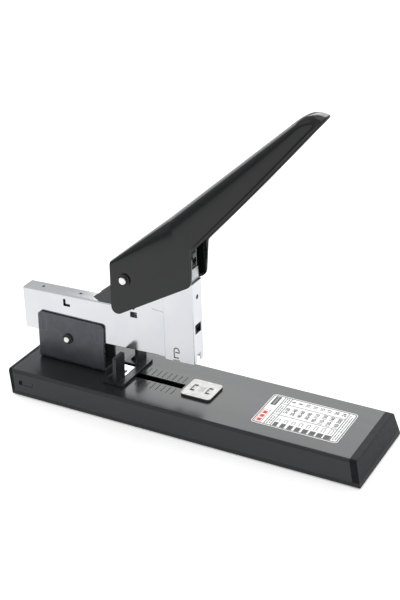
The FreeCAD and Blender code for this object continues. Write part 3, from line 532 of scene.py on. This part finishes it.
def rounded_path(corners, radii, arc_points=9):
    """Straight runs joined by arcs: a corner of half angle h is cut back by radius / tan h on both runs."""
    corners = [np.array(corner, float) for corner in corners]
    points = [corners[0]]
    for before, corner, after, radius in zip(corners, corners[1:], corners[2:], radii):
        back = (before - corner) / np.linalg.norm(before - corner)
        ahead = (after - corner) / np.linalg.norm(after - corner)
        half = math.acos(back @ ahead) / 2
        sweep = math.pi - 2 * half
        centre = corner + (back + ahead) / np.linalg.norm(back + ahead) * radius / math.sin(half)
        first = corner + back * radius / math.tan(half) - centre
        last = corner + ahead * radius / math.tan(half) - centre
        t = np.linspace(0, 1, arc_points)[:, None]
        points.extend(centre + (np.sin((1 - t) * sweep) * first + np.sin(t * sweep) * last) / math.sin(sweep))
    points.append(corners[-1])
    return np.array(points)


def spread(path, count):
    """The path's points moved to be evenly spaced, and each one's share of the length."""
    steps = np.linalg.norm(np.diff(path, axis=0), axis=1)
    along = np.concatenate([[0], np.cumsum(steps)]) / steps.sum()
    share = np.linspace(0, 1, count)
    return np.stack([np.interp(share, along, path[:, k]) for k in range(path.shape[1])], 1), share


# ---- lever ----

# The outline of the cheek and the lip, in millimetres along and above the handle pin.
CHEEK_CORNERS = [(-24.9, -10.4), (-30.8, -17.4), (45.8, -32.0), (64.9, -11.9), (80.0, -9.8)]
CHEEK_RADII = [5.3, 6.5, 4.0]
LIP_BOW = 0.6
LIP_START = (69.0, -11.3)
LIP_END = (192.0, 6.4)
TOP_REAR = -1.3
TAPER_START = 60.0 * MM
SHOULDER_END = -2.0 * MM

CHEEK_COLUMNS, LIP_COLUMNS, NOSE_COLUMNS = 84, 70, 26
BEAD_COLUMN, BEAD_COLUMNS = 66, 22.0
LIP_ROWS, WALL_ROWS, SHOULDER_ROWS, ROOF_ROWS = 12, 12, 18, 6

NOSE_SQUARENESS, NOSE_POWER = 6, 0.42
LEAST_DEPTH = 0.35 * MM
LEAN_OF_DEPTH, LEAN_OF_HALF, ARCH_OF_DEPTH = 0.9, 0.94, 0.85  # the most that each may be
LIP_ZONE, LIP_OF_DEPTH, LIP_EASE = 5.0 * MM, 0.12, 1.25
BEAD_HEIGHT, BEAD_SPREAD = 1.3 * MM, 1.2 * MM
ROOF_CROWN = 0.35 * MM
PIN_PLAY = 0.05 * MM
RIM = 0.35 * MM


def nose_share(settings, s):
    """How far s is past the nose's start, 0 to 1."""
    return np.clip((s - settings.nose_start) / (settings.nose_end - settings.nose_start), 0, 1)


def taper_share(settings, s):
    """How far s is along the straight taper, 0 to 1."""
    return np.clip((s - TAPER_START) / (settings.nose_start - TAPER_START), 0, 1)


def lever_half(settings, s):
    """Half width at s: the cheeks' width, tapering straight to the tip's; past the nose's start it is times
    1 - share^6 to the power 0.42, a full rounded end."""
    half = settings.half + (settings.tip_half - settings.half) * taper_share(settings, s)
    return half * (1 - nose_share(settings, s) ** NOSE_SQUARENESS) ** NOSE_POWER


def lever_roof(settings, s):
    """Height of the roof at s: rising a little along the taper, then a quarter ellipse down to the nose."""
    roof = settings.roof + settings.roof_climb * taper_share(settings, s)
    return settings.nose_height + (roof - settings.nose_height) * np.sqrt(1 - nose_share(settings, s) ** 2)


def lever_columns(settings):
    """Lower ends of the ruled lines, the place along the roof above each, and each one's share of the bead.
    The lower ends follow the cheek's rounded outline, then the bowed lip, then the nose."""
    outline = rounded_path(CHEEK_CORNERS, CHEEK_RADII) * MM
    outline = outline[outline[:, 0] < LIP_START[0] * MM]
    cheek, share = spread(np.vstack([outline, np.array(LIP_START) * MM]), CHEEK_COLUMNS)
    cheek_top = (TOP_REAR + (LIP_START[0] - TOP_REAR) * share) * MM
    t = np.linspace(0, 1, LIP_COLUMNS)[1:]
    lip = np.stack([LIP_START[0] + (settings.nose_start / MM - LIP_START[0]) * t,
                    LIP_START[1] + (LIP_END[1] - LIP_START[1]) * t - LIP_BOW * np.sin(np.pi * t)], 1) * MM
    turn = np.linspace(0, np.pi / 2, NOSE_COLUMNS)[1:]
    nose_s = settings.nose_start + (settings.nose_end - settings.nose_start) * np.sin(turn)
    slope = (LIP_END[1] - LIP_START[1]) / (LIP_END[0] - LIP_START[0])
    nose = np.stack([nose_s, LIP_END[1] * MM + slope * (nose_s - settings.nose_start)], 1)
    lower = np.vstack([cheek, lip, nose])
    top = np.concatenate([cheek_top, lip[:, 0], nose_s])
    bead = np.clip((np.arange(len(lower)) - BEAD_COLUMN) / BEAD_COLUMNS, 0, 1)
    return lower, top, bead * bead * (3 - 2 * bead)


def lever_surface(settings):
    """Outer face of the lever as a grid. Across: up the near side from the lip, in along a quarter ellipse whose
    half axes are the lean and the arch's height, over the crowned roof and down the far side. Along: ruled lines
    that fan from the roof to the cheek's outline, then stand square to the roof as far as the nose. The bead is
    a bell curve of height above the lip, pushed out square to the side."""
    lower, top, bead = lever_columns(settings)
    depth = np.maximum(lever_roof(settings, top) - lower[:, 1], LEAST_DEPTH)
    half_at_top = lever_half(settings, top)
    bends = (SHOULDER_END, TAPER_START, settings.nose_start)
    lean = np.interp(top, bends, (settings.shoulder, settings.arch_width, settings.tip_width))
    lean = np.minimum(np.minimum(lean, LEAN_OF_DEPTH * depth), LEAN_OF_HALF * half_at_top)
    arch = np.interp(top, bends, (settings.shoulder, settings.arch_height, settings.tip_height))
    arch = np.minimum(arch, ARCH_OF_DEPTH * depth)
    lip_zone = np.minimum(LIP_ZONE, LIP_OF_DEPTH * depth)
    low_rows = lip_zone[None] * np.linspace(0, 1, LIP_ROWS)[:, None] ** LIP_EASE
    wall_rows = lip_zone[None] + (depth - arch - lip_zone)[None] * np.linspace(0, 1, WALL_ROWS)[1:, None]
    sweep = np.linspace(0, np.pi / 2, SHOULDER_ROWS)[1:, None]
    bend_rows = depth[None] - arch[None] * (1 - np.sin(sweep))
    inward = np.concatenate([np.zeros_like(low_rows), np.zeros_like(wall_rows),
                             lean[None] * (1 - np.cos(sweep))])
    above = np.concatenate([low_rows, wall_rows, bend_rows])
    s = lower[None, :, 0] + (top - lower[:, 0])[None] * above / depth[None]
    n = lower[None, :, 1] + above
    bump = settings.bead * bead[None] * np.exp(-((above - BEAD_HEIGHT) / BEAD_SPREAD) ** 2)
    slope = np.gradient(half_at_top, np.maximum.accumulate(top + np.arange(len(top)) * 1e-9))
    normal_y = 1 / np.sqrt(1 + slope ** 2)
    y = lever_half(settings, s) - inward + bump * normal_y[None]
    s = s - bump * (slope * normal_y)[None]
    across = np.linspace(1, 0, ROOF_ROWS)[1:, None]
    crown = ROOF_CROWN * (1 - across ** 2) * np.clip(y[-1] / settings.half, 0, 1)[None]
    s = np.concatenate([s, np.broadcast_to(s[-1], crown.shape)])
    n = np.concatenate([n, n[-1][None] + crown])
    y = np.concatenate([y, y[-1][None] * across])
    return (np.concatenate([s, s[-2::-1]]), np.concatenate([-y, y[-2::-1]]), np.concatenate([n, n[-2::-1]]))


def place_on_lever(settings, s, y, n):
    """Lever axes to the frame: s runs up the slope, n square to it, both from the handle pin."""
    cos = math.cos(settings.rise)
    sin = math.sin(settings.rise)
    return np.stack([HANDLE_PIN[0] + s * cos - n * sin, y, HANDLE_PIN[2] + s * sin + n * cos], -1)


def solid_from(piece):
    """The mesh that a piece's modifiers give."""
    bpy.context.view_layer.update()
    evaluated = piece.evaluated_get(bpy.context.evaluated_depsgraph_get())
    return bpy.data.meshes.new_from_object(evaluated)


def pin_cutter(centre, radius, half, around=40):
    """A round bar across the stapler that cuts a pin's hole."""
    turn = np.linspace(0, 2 * np.pi, around, endpoint=False)
    ring = np.stack([centre[0] + radius * np.cos(turn), np.zeros(around), centre[2] + radius * np.sin(turn)], 1)
    rings = np.stack([ring - half * ACROSS, ring + half * ACROSS])
    cutter = bpy.data.objects.new("pin_cutter", outward_mesh("pin_cutter", *capped_run(rings)))
    bpy.context.scene.collection.objects.link(cutter)
    return cutter


class STAPLER_OT_lever(Operator):
    """Build the pressed lever with its cheeks, rolled lip and rounded nose"""

    bl_idname = "stapler.lever"
    bl_label = "Lever"

    def execute(self, context):
        settings = context.scene.stapler_lever
        s, y, n = lever_surface(settings)
        points = place_on_lever(settings, s, y, n)
        material = finish_of(context, "handle_paint")
        skin = add_piece("lever_skin", points, grid_faces(*s.shape), material, "handle", 60.0,
                         MERGE)
        wall = skin.modifiers.new("sheet", "SOLIDIFY")
        wall.thickness = settings.sheet
        wall.offset = -1.0
        wall.use_even_offset = False
        pin_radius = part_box("handle_pin")[1].z - HANDLE_PIN[2]
        cutter = pin_cutter(HANDLE_PIN, pin_radius + PIN_PLAY, settings.half * 2)
        hole = skin.modifiers.new("pin_hole", "BOOLEAN")
        hole.object = cutter
        hole.solver = "FAST"
        mesh = solid_from(skin)
        bpy.data.objects.remove(skin)
        bpy.data.objects.remove(cutter)
        lever = add_object("lever", mesh, material, "handle", 50.0)
        rim = lever.modifiers.new("rim", "BEVEL")
        rim.width = RIM
        rim.segments = 2
        rim.limit_method = "ANGLE"
        rim.angle_limit = math.radians(60)
        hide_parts("handle_shell")
        return {"FINISHED"}


# ---- springs and staples ----

RETURN_FOOT, RETURN_GAP = 0.1 * MM, 0.3 * MM
PUSHER_GAP = 0.2 * MM


def wind(context, name, body, start, axis, tall, radius, wire_radius, turns):
    """One spring wound from its start along its axis."""
    points, faces = coil(start, axis, tall, radius, wire_radius, turns)
    return add_piece(name, points, faces, finish_of(context, "spring_steel"), body)


class STAPLER_OT_springs(Operator):
    """Wind the lift, return and pusher springs"""

    bl_idname = "stapler.springs"
    bl_label = "Springs"

    def execute(self, context):
        settings = context.scene.stapler_springs
        up = np.array((0.0, 0.0, 1.0))
        low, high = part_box("lift_spring")
        start = ((low.x + high.x) / 2, 0.0, low.z)
        height = high.z - low.z
        lift = wind(context, "lift_coil", "base", start, up, height, (high.y - low.y) / 2, settings.lift_wire,
                    settings.lift_turns)
        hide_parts("lift_spring")
        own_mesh(lift)

        post_low, post_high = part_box("spring_post")
        body_low, body_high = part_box("return_spring")
        seat_top = np.array((post_low.x / 2 + post_high.x / 2, 0.0, post_low.z + RETURN_FOOT))
        tall = (body_high.z - seat_top[2]) - RETURN_GAP
        back = wind(context, "return_coil", "head", seat_top, HEAD_UP, tall, (body_high.y - body_low.y) / 2,
                    settings.return_wire, settings.return_turns)
        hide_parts("return_spring")
        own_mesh(back)

        rod_low, rod_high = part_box("pusher_rod")
        spring_low, spring_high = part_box("pusher_spring")
        rod_middle = np.array(rod_low + rod_high) / 2
        long = (spring_high.x - spring_low.x) / HEAD_ALONG[0] - 2 * PUSHER_GAP
        from_middle = (spring_low.x - rod_middle[0]) / HEAD_ALONG[0] + PUSHER_GAP
        start = rod_middle + from_middle * HEAD_ALONG
        push = wind(context, "pusher_coil", "rail", start, HEAD_ALONG, long, (spring_high.y - spring_low.y) / 2,
                    settings.pusher_wire, settings.pusher_turns)
        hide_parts("pusher_spring")
        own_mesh(push)
        return {"FINISHED"}


def squared(wave):
    """A sine or cosine flattened so that a circle made with it becomes a rounded square."""
    return np.sign(wave) * np.abs(wave) ** 0.4


class STAPLER_OT_staples(Operator):
    """Fill the rail with single staples"""

    bl_idname = "stapler.staples"
    bl_label = "Staples"

    def execute(self, context):
        settings = context.scene.stapler_staples
        low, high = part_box("staple_strip")
        centre = np.array(((low.x + high.x) / 2, 0.0, (low.z + high.z) / 2)) - HEAD_PIVOT
        tilt_drop = (high.x - low.x) * abs(HEAD_UP[0])
        leg = (high.z - low.z - tilt_drop) / HEAD_UP[2]
        top_w = centre @ HEAD_UP + leg / 2
        long = (high.x - low.x - leg * abs(HEAD_UP[0])) / HEAD_ALONG[0]
        count = int(long / settings.pitch)
        inner = settings.depth / 2
        half = high.y - inner
        corners = [(-half, top_w - leg), (-half, top_w - inner), (half, top_w - inner), (half, top_w - leg)]
        path = rounded_path(corners, [settings.corner] * 2, 5)
        ahead = directions(path)
        turn = np.linspace(0, 2 * np.pi, WIRE_SIDES, endpoint=False) + np.pi / WIRE_SIDES
        wide = settings.wire / 2 * squared(np.cos(turn))
        deep = settings.depth / 2 * squared(np.sin(turn))
        first_u = centre @ HEAD_ALONG - (count - 1) / 2 * settings.pitch
        u = first_u + settings.pitch * np.arange(count)[:, None, None] + wide[None, None, :]
        y = path[:, 0][:, None] - ahead[:, 1][:, None] * deep[None]
        w = path[:, 1][:, None] + ahead[:, 0][:, None] * deep[None]
        points, faces = gather(capped_run(rings) for rings in on_head(u, y[None], w[None]))
        strip = add_piece("staples", points, faces, finish_of(context, "staple_wire"), "rail")
        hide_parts("staple_strip")
        return {"FINISHED"}


# ---- marks on the base ----

SLOT_HALF = 3.5 * MM
TICK_GAP = 1.6 * MM
LAST_TICK = 19.2 * MM
TICK_RISE, TICK_SINK = 0.16 * MM, 0.02 * MM
TICK_POINTS = 7


class STAPLER_OT_depth_scale(Operator):
    """Emboss the paper-depth ticks on both sides of the slot, counted back from the anvil, and colour them dark
    as painted shade of the embossing
    """

    bl_idname = "stapler.depth_scale"
    bl_label = "Depth scale"

    def execute(self, context):
        settings = context.scene.stapler_base
        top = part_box("base_cover")[1].z
        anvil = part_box("anvil_plate")
        last = (anvil[0].x + anvil[1].x) / 2 - LAST_TICK
        bend = np.linspace(0, np.pi, TICK_POINTS)
        across = np.cos(bend) * settings.tick_width / 2
        z = top + np.sin(bend) * TICK_RISE - TICK_SINK
        parts = []
        for side in (-1, 1):
            ends = side * (SLOT_HALF + TICK_GAP + np.array(((0.0,), (settings.tick_length,))))
            for centre in last - settings.tick_pitch * np.arange(settings.tick_count):
                parts.append(capped_run(np.stack(np.broadcast_arrays(centre + across, ends, z), -1)))
        points, faces = gather(parts)
        # the embossed ticks are coloured near black: painted shade of the embossing
        material = ink("scale_ink", (0.008, 0.008, 0.009))
        add_piece("depth_scale", points, faces, material, "base")
        return {"FINISHED"}


def flat_band(inner, outer, low, high):
    """A closed flat band between two loops of points, from one height to another."""
    loops = [np.column_stack([loop, np.full(len(inner), z)])
             for loop, z in ((inner, low), (outer, low), (outer, high), (inner, high))]
    return np.stack(loops).reshape(-1, 3), grid_faces(4, len(inner), wrap_rows=True, wrap_columns=True)


def rounded_loop(x0, x1, y0, y1, radius, steps=8):
    """A rectangle with rounded corners, as a closed loop of points."""
    turn = np.linspace(0, np.pi / 2, steps)
    centres = ((x1 - radius, y1 - radius), (x0 + radius, y1 - radius), (x0 + radius, y0 + radius),
               (x1 - radius, y0 + radius))
    return np.concatenate([np.stack([x + radius * np.cos(turn + quarter * np.pi / 2),
                                     y + radius * np.sin(turn + quarter * np.pi / 2)], 1)
                           for quarter, (x, y) in enumerate(centres)])


def printed_figures(text, size, thick, centre):
    """Generic figures about a centre, reading along +Y with their tops towards -X, as points and faces."""
    curve = bpy.data.curves.new("figures", "FONT")
    curve.body = text
    curve.size = size
    curve.extrude = thick / 2
    curve.offset = 0.03 * size
    curve.resolution_u = 2
    curve.align_x = "CENTER"
    curve.align_y = "CENTER"
    holder = bpy.data.objects.new("figures", curve)
    bpy.context.scene.collection.objects.link(holder)
    mesh = solid_from(holder)
    bpy.data.objects.remove(holder)
    mesh.transform(Matrix.Translation(centre) @ Matrix.Rotation(math.pi / 2, 4, "Z"))
    points = np.empty(3 * len(mesh.vertices))
    mesh.vertices.foreach_get("co", points)
    faces = [list(face.vertices) for face in mesh.polygons]
    bpy.data.meshes.remove(mesh)
    return points.reshape(-1, 3), faces


# The chart's print, in millimetres from the label's rear near corner.
LEG_SIZES = (6, 8, 10, 13, 15, 17, 20, 24)
SHEET_RANGES = ("2-20", "20-40", "40-60", "60-90", "90-110", "110-130", "130-160", "160-200")
FIGURE_SIZE = 4.3
HEADER_NEAR, HEADER_FAR = 10.2, 15.4
TABLE_END = 61.5
TABLE_MARGIN = 1.2
COLUMN_LINES = (17.3, 33.2)
BORDER_OUTER, BORDER_INNER = (0.6, 0.8, 2.4), (1.3, 1.6, 1.7)
STACK_ENDS, STACK_HALF, STACK_STEP = (1.8, 7.4), 1.7, 0.1
OUTLINE_START, OUTLINE_HALF, OUTLINE_WIRE = 8.8, 1.2, 0.4
OUTLINE_LEG, LEG_SHARE = 2.2, 0.22
PRINT_ROWS = ((11.9, 2.5, 15.5), (13.7, 3.5, 14.0), (11.9, 19.5, 31.0), (13.7, 20.5, 30.0), (11.9, 35.0, 42.0),
              (13.7, 35.5, 41.5), (63.3, 3.0, 41.0), (65.2, 4.0, 38.0))
PRINT_HALF, WORD_GAP, WORD_LENGTHS = 0.38, 0.7, (1.2, 3.4)
BLACK_BOX = (3.1, 7.3, 28.6, 41.6)
PALE_BAR_ENDS, PALE_BAR_WIDTH = (4.1, 6.3), 0.45
PALE_BARS = (30.2, 40.5, 1.25)
RED_SQUARE_ENDS, RED_SQUARE_WIDTH = (3.2, 6.4), 3.9
RED_SQUARES = (3.6, 9.0, 14.4)
RED_OUTER, RED_INNER = (2.0, 7.6, 2.0, 20.6, 0.5), (2.45, 7.15, 2.45, 20.15, 0.3)
PRINT_SINK = 0.005 * MM


class STAPLER_OT_chart(Operator):
    """Print the staple chart: frame, table lines, figures, paper blocks and staple outlines"""

    bl_idname = "stapler.chart"
    bl_label = "Chart"

    def execute(self, context):
        settings = context.scene.stapler_chart
        low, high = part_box("chart_label")
        z0 = high.z - PRINT_SINK
        z1 = high.z + settings.ink
        line = settings.line / 2 / MM
        long, wide = (high.x - low.x) / MM, (high.y - low.y) / MM

        def on_label(x0, x1, y0, y1):
            """A printed rectangle."""
            return (low.x + x0 * MM, low.x + x1 * MM, low.y + y0 * MM, low.y + y1 * MM, z0, z1)

        def ring_on_label(*sides):
            """A printed frame between an inner and an outer (x0, x1, y0, y1, corner radius)."""
            inner, outer = (rounded_loop(*on_label(*side[:4])[:4], side[4] * MM) for side in sides)
            return flat_band(inner, outer, z0, z1)

        def inset(x, y, radius):
            """A rounded rectangle that stays this far inside the label."""
            return (x, long - x, y, wide - y, radius)

        black = [on_label(x - line, x + line, TABLE_MARGIN, wide - TABLE_MARGIN)
                 for x in (HEADER_NEAR, HEADER_FAR, TABLE_END)]
        black += [on_label(HEADER_NEAR, TABLE_END, y - line, y + line) for y in COLUMN_LINES]
        black.append(on_label(*BLACK_BOX))
        pitch = (TABLE_END - HEADER_FAR) / len(LEG_SIZES)
        grey = []
        figures = []
        for row, leg in enumerate(LEG_SIZES):
            x = HEADER_FAR + pitch * (row + 0.5)
            stack = STACK_HALF + row * STACK_STEP
            grey.append(on_label(x - stack, x + stack, *STACK_ENDS))
            crown = OUTLINE_START + OUTLINE_LEG + leg * LEG_SHARE
            x0, x1 = x - OUTLINE_HALF, x + OUTLINE_HALF
            black += [on_label(x0, x0 + OUTLINE_WIRE, OUTLINE_START, crown),
                      on_label(x1 - OUTLINE_WIRE, x1, OUTLINE_START, crown),
                      on_label(x0, x1, crown - OUTLINE_WIRE, crown)]
            for text, y in ((SHEET_RANGES[row], sum(COLUMN_LINES) / 2), (str(leg), (COLUMN_LINES[1] + wide) / 2)):
                centre = (low.x + x * MM, low.y + y * MM, (z0 + z1) / 2)
                figures.append(printed_figures(text, FIGURE_SIZE * MM, z1 - z0, centre))
        rng = np.random.default_rng(7)
        for x, y, end in PRINT_ROWS:
            while y < end - 1.0:
                word = min(rng.uniform(*WORD_LENGTHS), end - y)
                grey.append(on_label(x - PRINT_HALF, x + PRINT_HALF, y, y + word))
                y += word + WORD_GAP
        pale = [(*on_label(*PALE_BAR_ENDS, y, y + PALE_BAR_WIDTH)[:4], z1 - PRINT_SINK, z1 + settings.ink)
                for y in np.arange(*PALE_BARS)]
        red = [on_label(*RED_SQUARE_ENDS, y, y + RED_SQUARE_WIDTH) for y in RED_SQUARES]
        border = ring_on_label(inset(*BORDER_INNER), inset(*BORDER_OUTER))
        for name, ink_name, tone, parts in (
                ("chart_lines", "black_ink", settings.black, [boxes(black), *figures, border]),
                ("chart_blocks", "grey_ink", settings.grey, [boxes(grey)]),
                ("chart_bars", "pale_ink", (0.6, 0.6, 0.6), [boxes(pale)]),
                ("chart_red_box", "red_ink", settings.red, [boxes(red), ring_on_label(RED_INNER, RED_OUTER)])):
            points, faces = gather(parts)
            add_piece(name, points, faces, ink(ink_name, tone), "base")
        return {"FINISHED"}


# The anvil's marks, in millimetres from its middle and down from its top. An arc is (radius, from, to), in
# degrees; a pocket's fill, painted shade in the clinching pockets, is (from, to, half width, bottom, top), from
# the station's rear.
TURNING_ARCS = ((3.4, 30, 150), (3.4, 210, 330), (2.2, 10, 170), (2.2, 190, 350), (0.9, 0, 359))
ARC_HALF, ARC_POINTS = 0.16, 28
ARC_HEIGHTS = np.array((-0.01, -0.01, 0.02, 0.02)) * MM
STATION_REARS = (-8.2, 4.4)
POCKET_SIDE = 3.8
POCKET_FILL = (0.1, 3.5, 1.0, 0.82, 0.06)
SPINE_FILL = (0.05, 0.75, 3.0, 0.52, 0.08)
TONGUE_FILL = (0.75, 1.75, 0.35, 0.52, 0.08)


class STAPLER_OT_anvil_marks(Operator):
    """Etch the faint turning arcs on the anvil and fill its clinching pockets with painted shade"""

    bl_idname = "stapler.anvil_marks"
    bl_label = "Anvil marks"

    def execute(self, context):
        low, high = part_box("anvil_plate")
        x = (low.x + high.x) / 2
        arcs = []
        for radius, start, stop in TURNING_ARCS:
            turn = np.radians(np.linspace(start, stop, ARC_POINTS))[:, None]
            r = (radius + ARC_HALF * np.array((-1, 1, 1, -1))) * MM
            rings = np.broadcast_arrays(x + r * np.cos(turn), r * np.sin(turn), high.z + ARC_HEIGHTS)
            arcs.append(capped_run(np.stack(rings, -1)))
        points, faces = gather(arcs)
        add_piece("anvil_marks", points, faces, ink("etched_nickel", (0.16, 0.16, 0.16)), "anvil")
        # dark boxes sunk in the clinching pockets: painted shade in the hollows
        pocket_shade_boxes = [(x + (rear + start) * MM, x + (rear + stop) * MM, (side - half) * MM, (side + half) * MM,
                  high.z - bottom * MM, high.z - top * MM)
                 for rear in STATION_REARS
                 for side, (start, stop, half, bottom, top) in (
                     (-POCKET_SIDE, POCKET_FILL), (POCKET_SIDE, POCKET_FILL), (0.0, SPINE_FILL),
                     (0.0, TONGUE_FILL))]
        points, faces = boxes(pocket_shade_boxes)
        add_piece("anvil_pockets", points, faces, ink("pocket_grime", (0.03, 0.03, 0.03)), "anvil")
        return {"FINISHED"}


# ---- marks on the head, along and up it from its pivot ----

CREASE_START, CREASE_LENGTH = 75.0 * MM, 9.2 * MM
CREASE_TOP, CREASE_DROP = 39.7 * MM, 1.7 * MM
CREASE_SINK, CREASE_RADIUS, CREASE_POINTS = 0.03 * MM, 0.18 * MM, 24
HOUSING_SHEET = 0.8 * MM
SHADE_ALONG = np.array((91.2, 98.0, 98.0, 91.2)) * MM
SHADE_UP = np.array((1.9, 1.9, 11.8, 11.8)) * MM
SHADE_DEPTHS = np.array(((0.12,), (0.01,))) * MM


class STAPLER_OT_casing_crease(Operator):
    """Raise the faint S-shaped crease on both sides of the casing"""

    bl_idname = "stapler.casing_crease"
    bl_label = "Casing crease"

    def execute(self, context):
        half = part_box("head_casing")[1].y
        t = np.linspace(0, 1, CREASE_POINTS)
        u = CREASE_START + CREASE_LENGTH * t
        w = CREASE_TOP - CREASE_DROP * (0.5 + 4 * (t - 0.5) ** 3)
        parts = []
        for side in (-1, 1):
            path = on_head(u, side * (half - CREASE_SINK), w)
            out = np.broadcast_to(ACROSS, path.shape)
            parts.append(tube(path, out, np.cross(directions(path), out), CREASE_RADIUS, 8))
        points, faces = gather(parts)
        add_piece("casing_crease", points, faces, finish_of(context, "zinc_plate"), "head")
        return {"FINISHED"}


class STAPLER_OT_slit_shade(Operator):
    """Line the tower's inside, behind its lock slits, with a dark sheet of painted shade"""

    bl_idname = "stapler.slit_shade"
    bl_label = "Slit shade"

    def execute(self, context):
        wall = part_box("front_housing")[1].y - HOUSING_SHEET
        points, faces = gather(capped_run(on_head(SHADE_ALONG, side * (wall - SHADE_DEPTHS), SHADE_UP))
                               for side in (-1, 1))
        # a near-black sheet inside the wall behind the slits: painted shade
        add_piece("slit_shade", points, faces, ink("greasy_black", (0.012, 0.012, 0.012)), "head")
        return {"FINISHED"}


class STAPLER_OT_finishes(Operator):
    """Give every frame part its material"""

    bl_idname = "stapler.finishes"
    bl_label = "Finishes"

    def execute(self, context):
        for node in frame["nodes"].values():
            for holder in node.material_slots:
                slot = holder.material.name.split(".")[0]
                holder.material = finish_of(context, slot)
        return {"FINISHED"}


# ---- stage ----

FLOOR_REACH = 8.0
SKY_LEAN = (0.12, 0.0, 1.0)
HORIZON, HAZE, ZENITH = (0.45, 0.455, 0.465), (0.90, 0.91, 0.93), (1.0, 1.0, 1.0)
# A soft box is (place, target, size) in metres, then its power in watts.
SOFT_BOXES = {
    "back_left_box": ((-0.25, 1.15, 0.85), (0.05, 0.0, 0.03), (1.1, 0.7), 7.0),
    "front_left_box": ((-1.1, -1.0, 1.1), (0.0, 0.0, 0.08), (0.9, 0.9), 0.8),
    "left_strip": ((-1.4, 0.5, 0.40), (0.0, 0.0, 0.15), (1.3, 0.8), 9.0),
    "top_box": ((0.2, 0.1, 1.5), (0.0, 0.0, 0.0), (1.4, 1.0), 4.6),
}
SIGHT_X = -5.3 * MM


def soft_light(name, place, target, size, power):
    """A rectangular soft box that faces its target."""
    light = bpy.data.lights.new(name, "AREA")
    light.shape = "RECTANGLE"
    light.size, light.size_y = size
    light.energy = power
    holder = bpy.data.objects.new(name, light)
    holder.location = place
    holder.rotation_mode = "QUATERNION"
    holder.rotation_quaternion = (Vector(target) - Vector(place)).to_track_quat("-Z", "Y")
    bpy.context.scene.collection.objects.link(holder)


class STAPLER_OT_stage(Operator):
    """Set up the pale floor, the soft lights and the camera"""

    bl_idname = "stapler.stage"
    bl_label = "Stage"

    def execute(self, context):
        scene = context.scene
        settings = scene.stapler_stage
        floor_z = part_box("foot_mat")[0].z
        corners = [(x * FLOOR_REACH, y * FLOOR_REACH, floor_z) for x, y in ((-1, -1), (1, -1), (1, 1), (-1, 1))]
        mesh = bpy.data.meshes.new("floor")
        mesh.from_pydata(corners, [], [(0, 1, 2, 3)])
        material = new_finish("pale_floor", settings.floor, roughness=0.8,
                              Emission_Color=(1.0, 1.0, 1.0, 1.0), Emission_Strength=settings.floor_glow)
        two_tone(material, shade(settings.floor, 0.995), shade(settings.floor, 1.0), 200 * MM)
        mesh.materials.append(material)
        floor = bpy.data.objects.new("floor", mesh)
        scene.collection.objects.link(floor)

        world = bpy.data.worlds.new("studio")
        world.use_nodes = True
        sky = world.node_tree.nodes["Background"]
        place = add_node(world, "TexCoord")
        lean = add_node(world, "VectorMath", {1: SKY_LEAN}, operation="DOT_PRODUCT")
        ramp = add_ramp(world, (0.0, HORIZON), (0.1, HAZE), (0.75, ZENITH))
        wire(world, place.outputs["Generated"], lean.inputs[0])
        wire(world, lean.outputs["Value"], ramp.inputs["Fac"])
        wire(world, ramp.outputs["Color"], sky.inputs["Color"])
        sky.inputs["Strength"].default_value = settings.sky
        scene.world = world
        scene.view_settings.view_transform = "Standard"
        for name, (place, target, size, power) in SOFT_BOXES.items():
            soft_light(name, place, target, size, power)

        back = Vector((math.sin(settings.azimuth) * math.cos(settings.elevation),
                       -math.cos(settings.azimuth) * math.cos(settings.elevation),
                       math.sin(settings.elevation)))
        right = Vector((math.cos(settings.azimuth), math.sin(settings.azimuth), 0.0))
        above = back.cross(right)
        target = Vector((SIGHT_X, 0.0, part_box("base_cover")[1].z))
        camera = bpy.data.cameras.new("camera")
        camera.lens = settings.lens
        camera.sensor_width = 36.0
        camera.clip_start = 0.05
        camera.clip_end = 50.0
        holder = bpy.data.objects.new("camera", camera)
        holder.matrix_world = Matrix((right, above, back)).transposed().to_4x4()
        holder.location = target + right * settings.side_step + above * settings.rise + back * settings.distance
        scene.collection.objects.link(holder)
        scene.camera = holder
        return {"FINISHED"}


OPERATORS = (STAPLER_OT_stage, STAPLER_OT_finishes, STAPLER_OT_lever, STAPLER_OT_springs, STAPLER_OT_staples,
             STAPLER_OT_depth_scale, STAPLER_OT_chart, STAPLER_OT_anvil_marks, STAPLER_OT_casing_crease,
             STAPLER_OT_slit_shade)


class STAPLER_PT_panel(Panel):
    """Sidebar panel with the stapler's settings and builders"""

    bl_idname = "STAPLER_PT_panel"
    bl_label = "Lever Stapler"
    bl_space_type = "VIEW_3D"
    bl_region_type = "UI"
    bl_category = "Stapler"

    def draw(self, context):
        layout = self.layout
        for name, group in SETTINGS.items():
            box = layout.box()
            box.label(text=group.__doc__.split(";")[0].rstrip("."))
            settings = getattr(context.scene, name)
            for key in group.__annotations__:
                box.prop(settings, key)
        for operator in OPERATORS:
            layout.operator(operator.bl_idname)


def register():
    """Registers the classes and their settings on the scene."""
    for group in SETTINGS.values():
        bpy.utils.register_class(group)
    for operator in OPERATORS:
        bpy.utils.register_class(operator)
    bpy.utils.register_class(STAPLER_PT_panel)
    for name, group in SETTINGS.items():
        setattr(bpy.types.Scene, name, PointerProperty(type=group))


def unregister():
    """Takes the settings and classes away again."""
    for name in SETTINGS:
        delattr(bpy.types.Scene, name)
    bpy.utils.unregister_class(STAPLER_PT_panel)
    for operator in reversed(OPERATORS):
        bpy.utils.unregister_class(operator)
    for group in SETTINGS.values():
        bpy.utils.unregister_class(group)


def main():
    """Builds everything."""
    register()
    for operator in OPERATORS:
        group, name = operator.bl_idname.split(".")
        getattr(getattr(bpy.ops, group), name)()


if __name__ == "__main__":
    main()
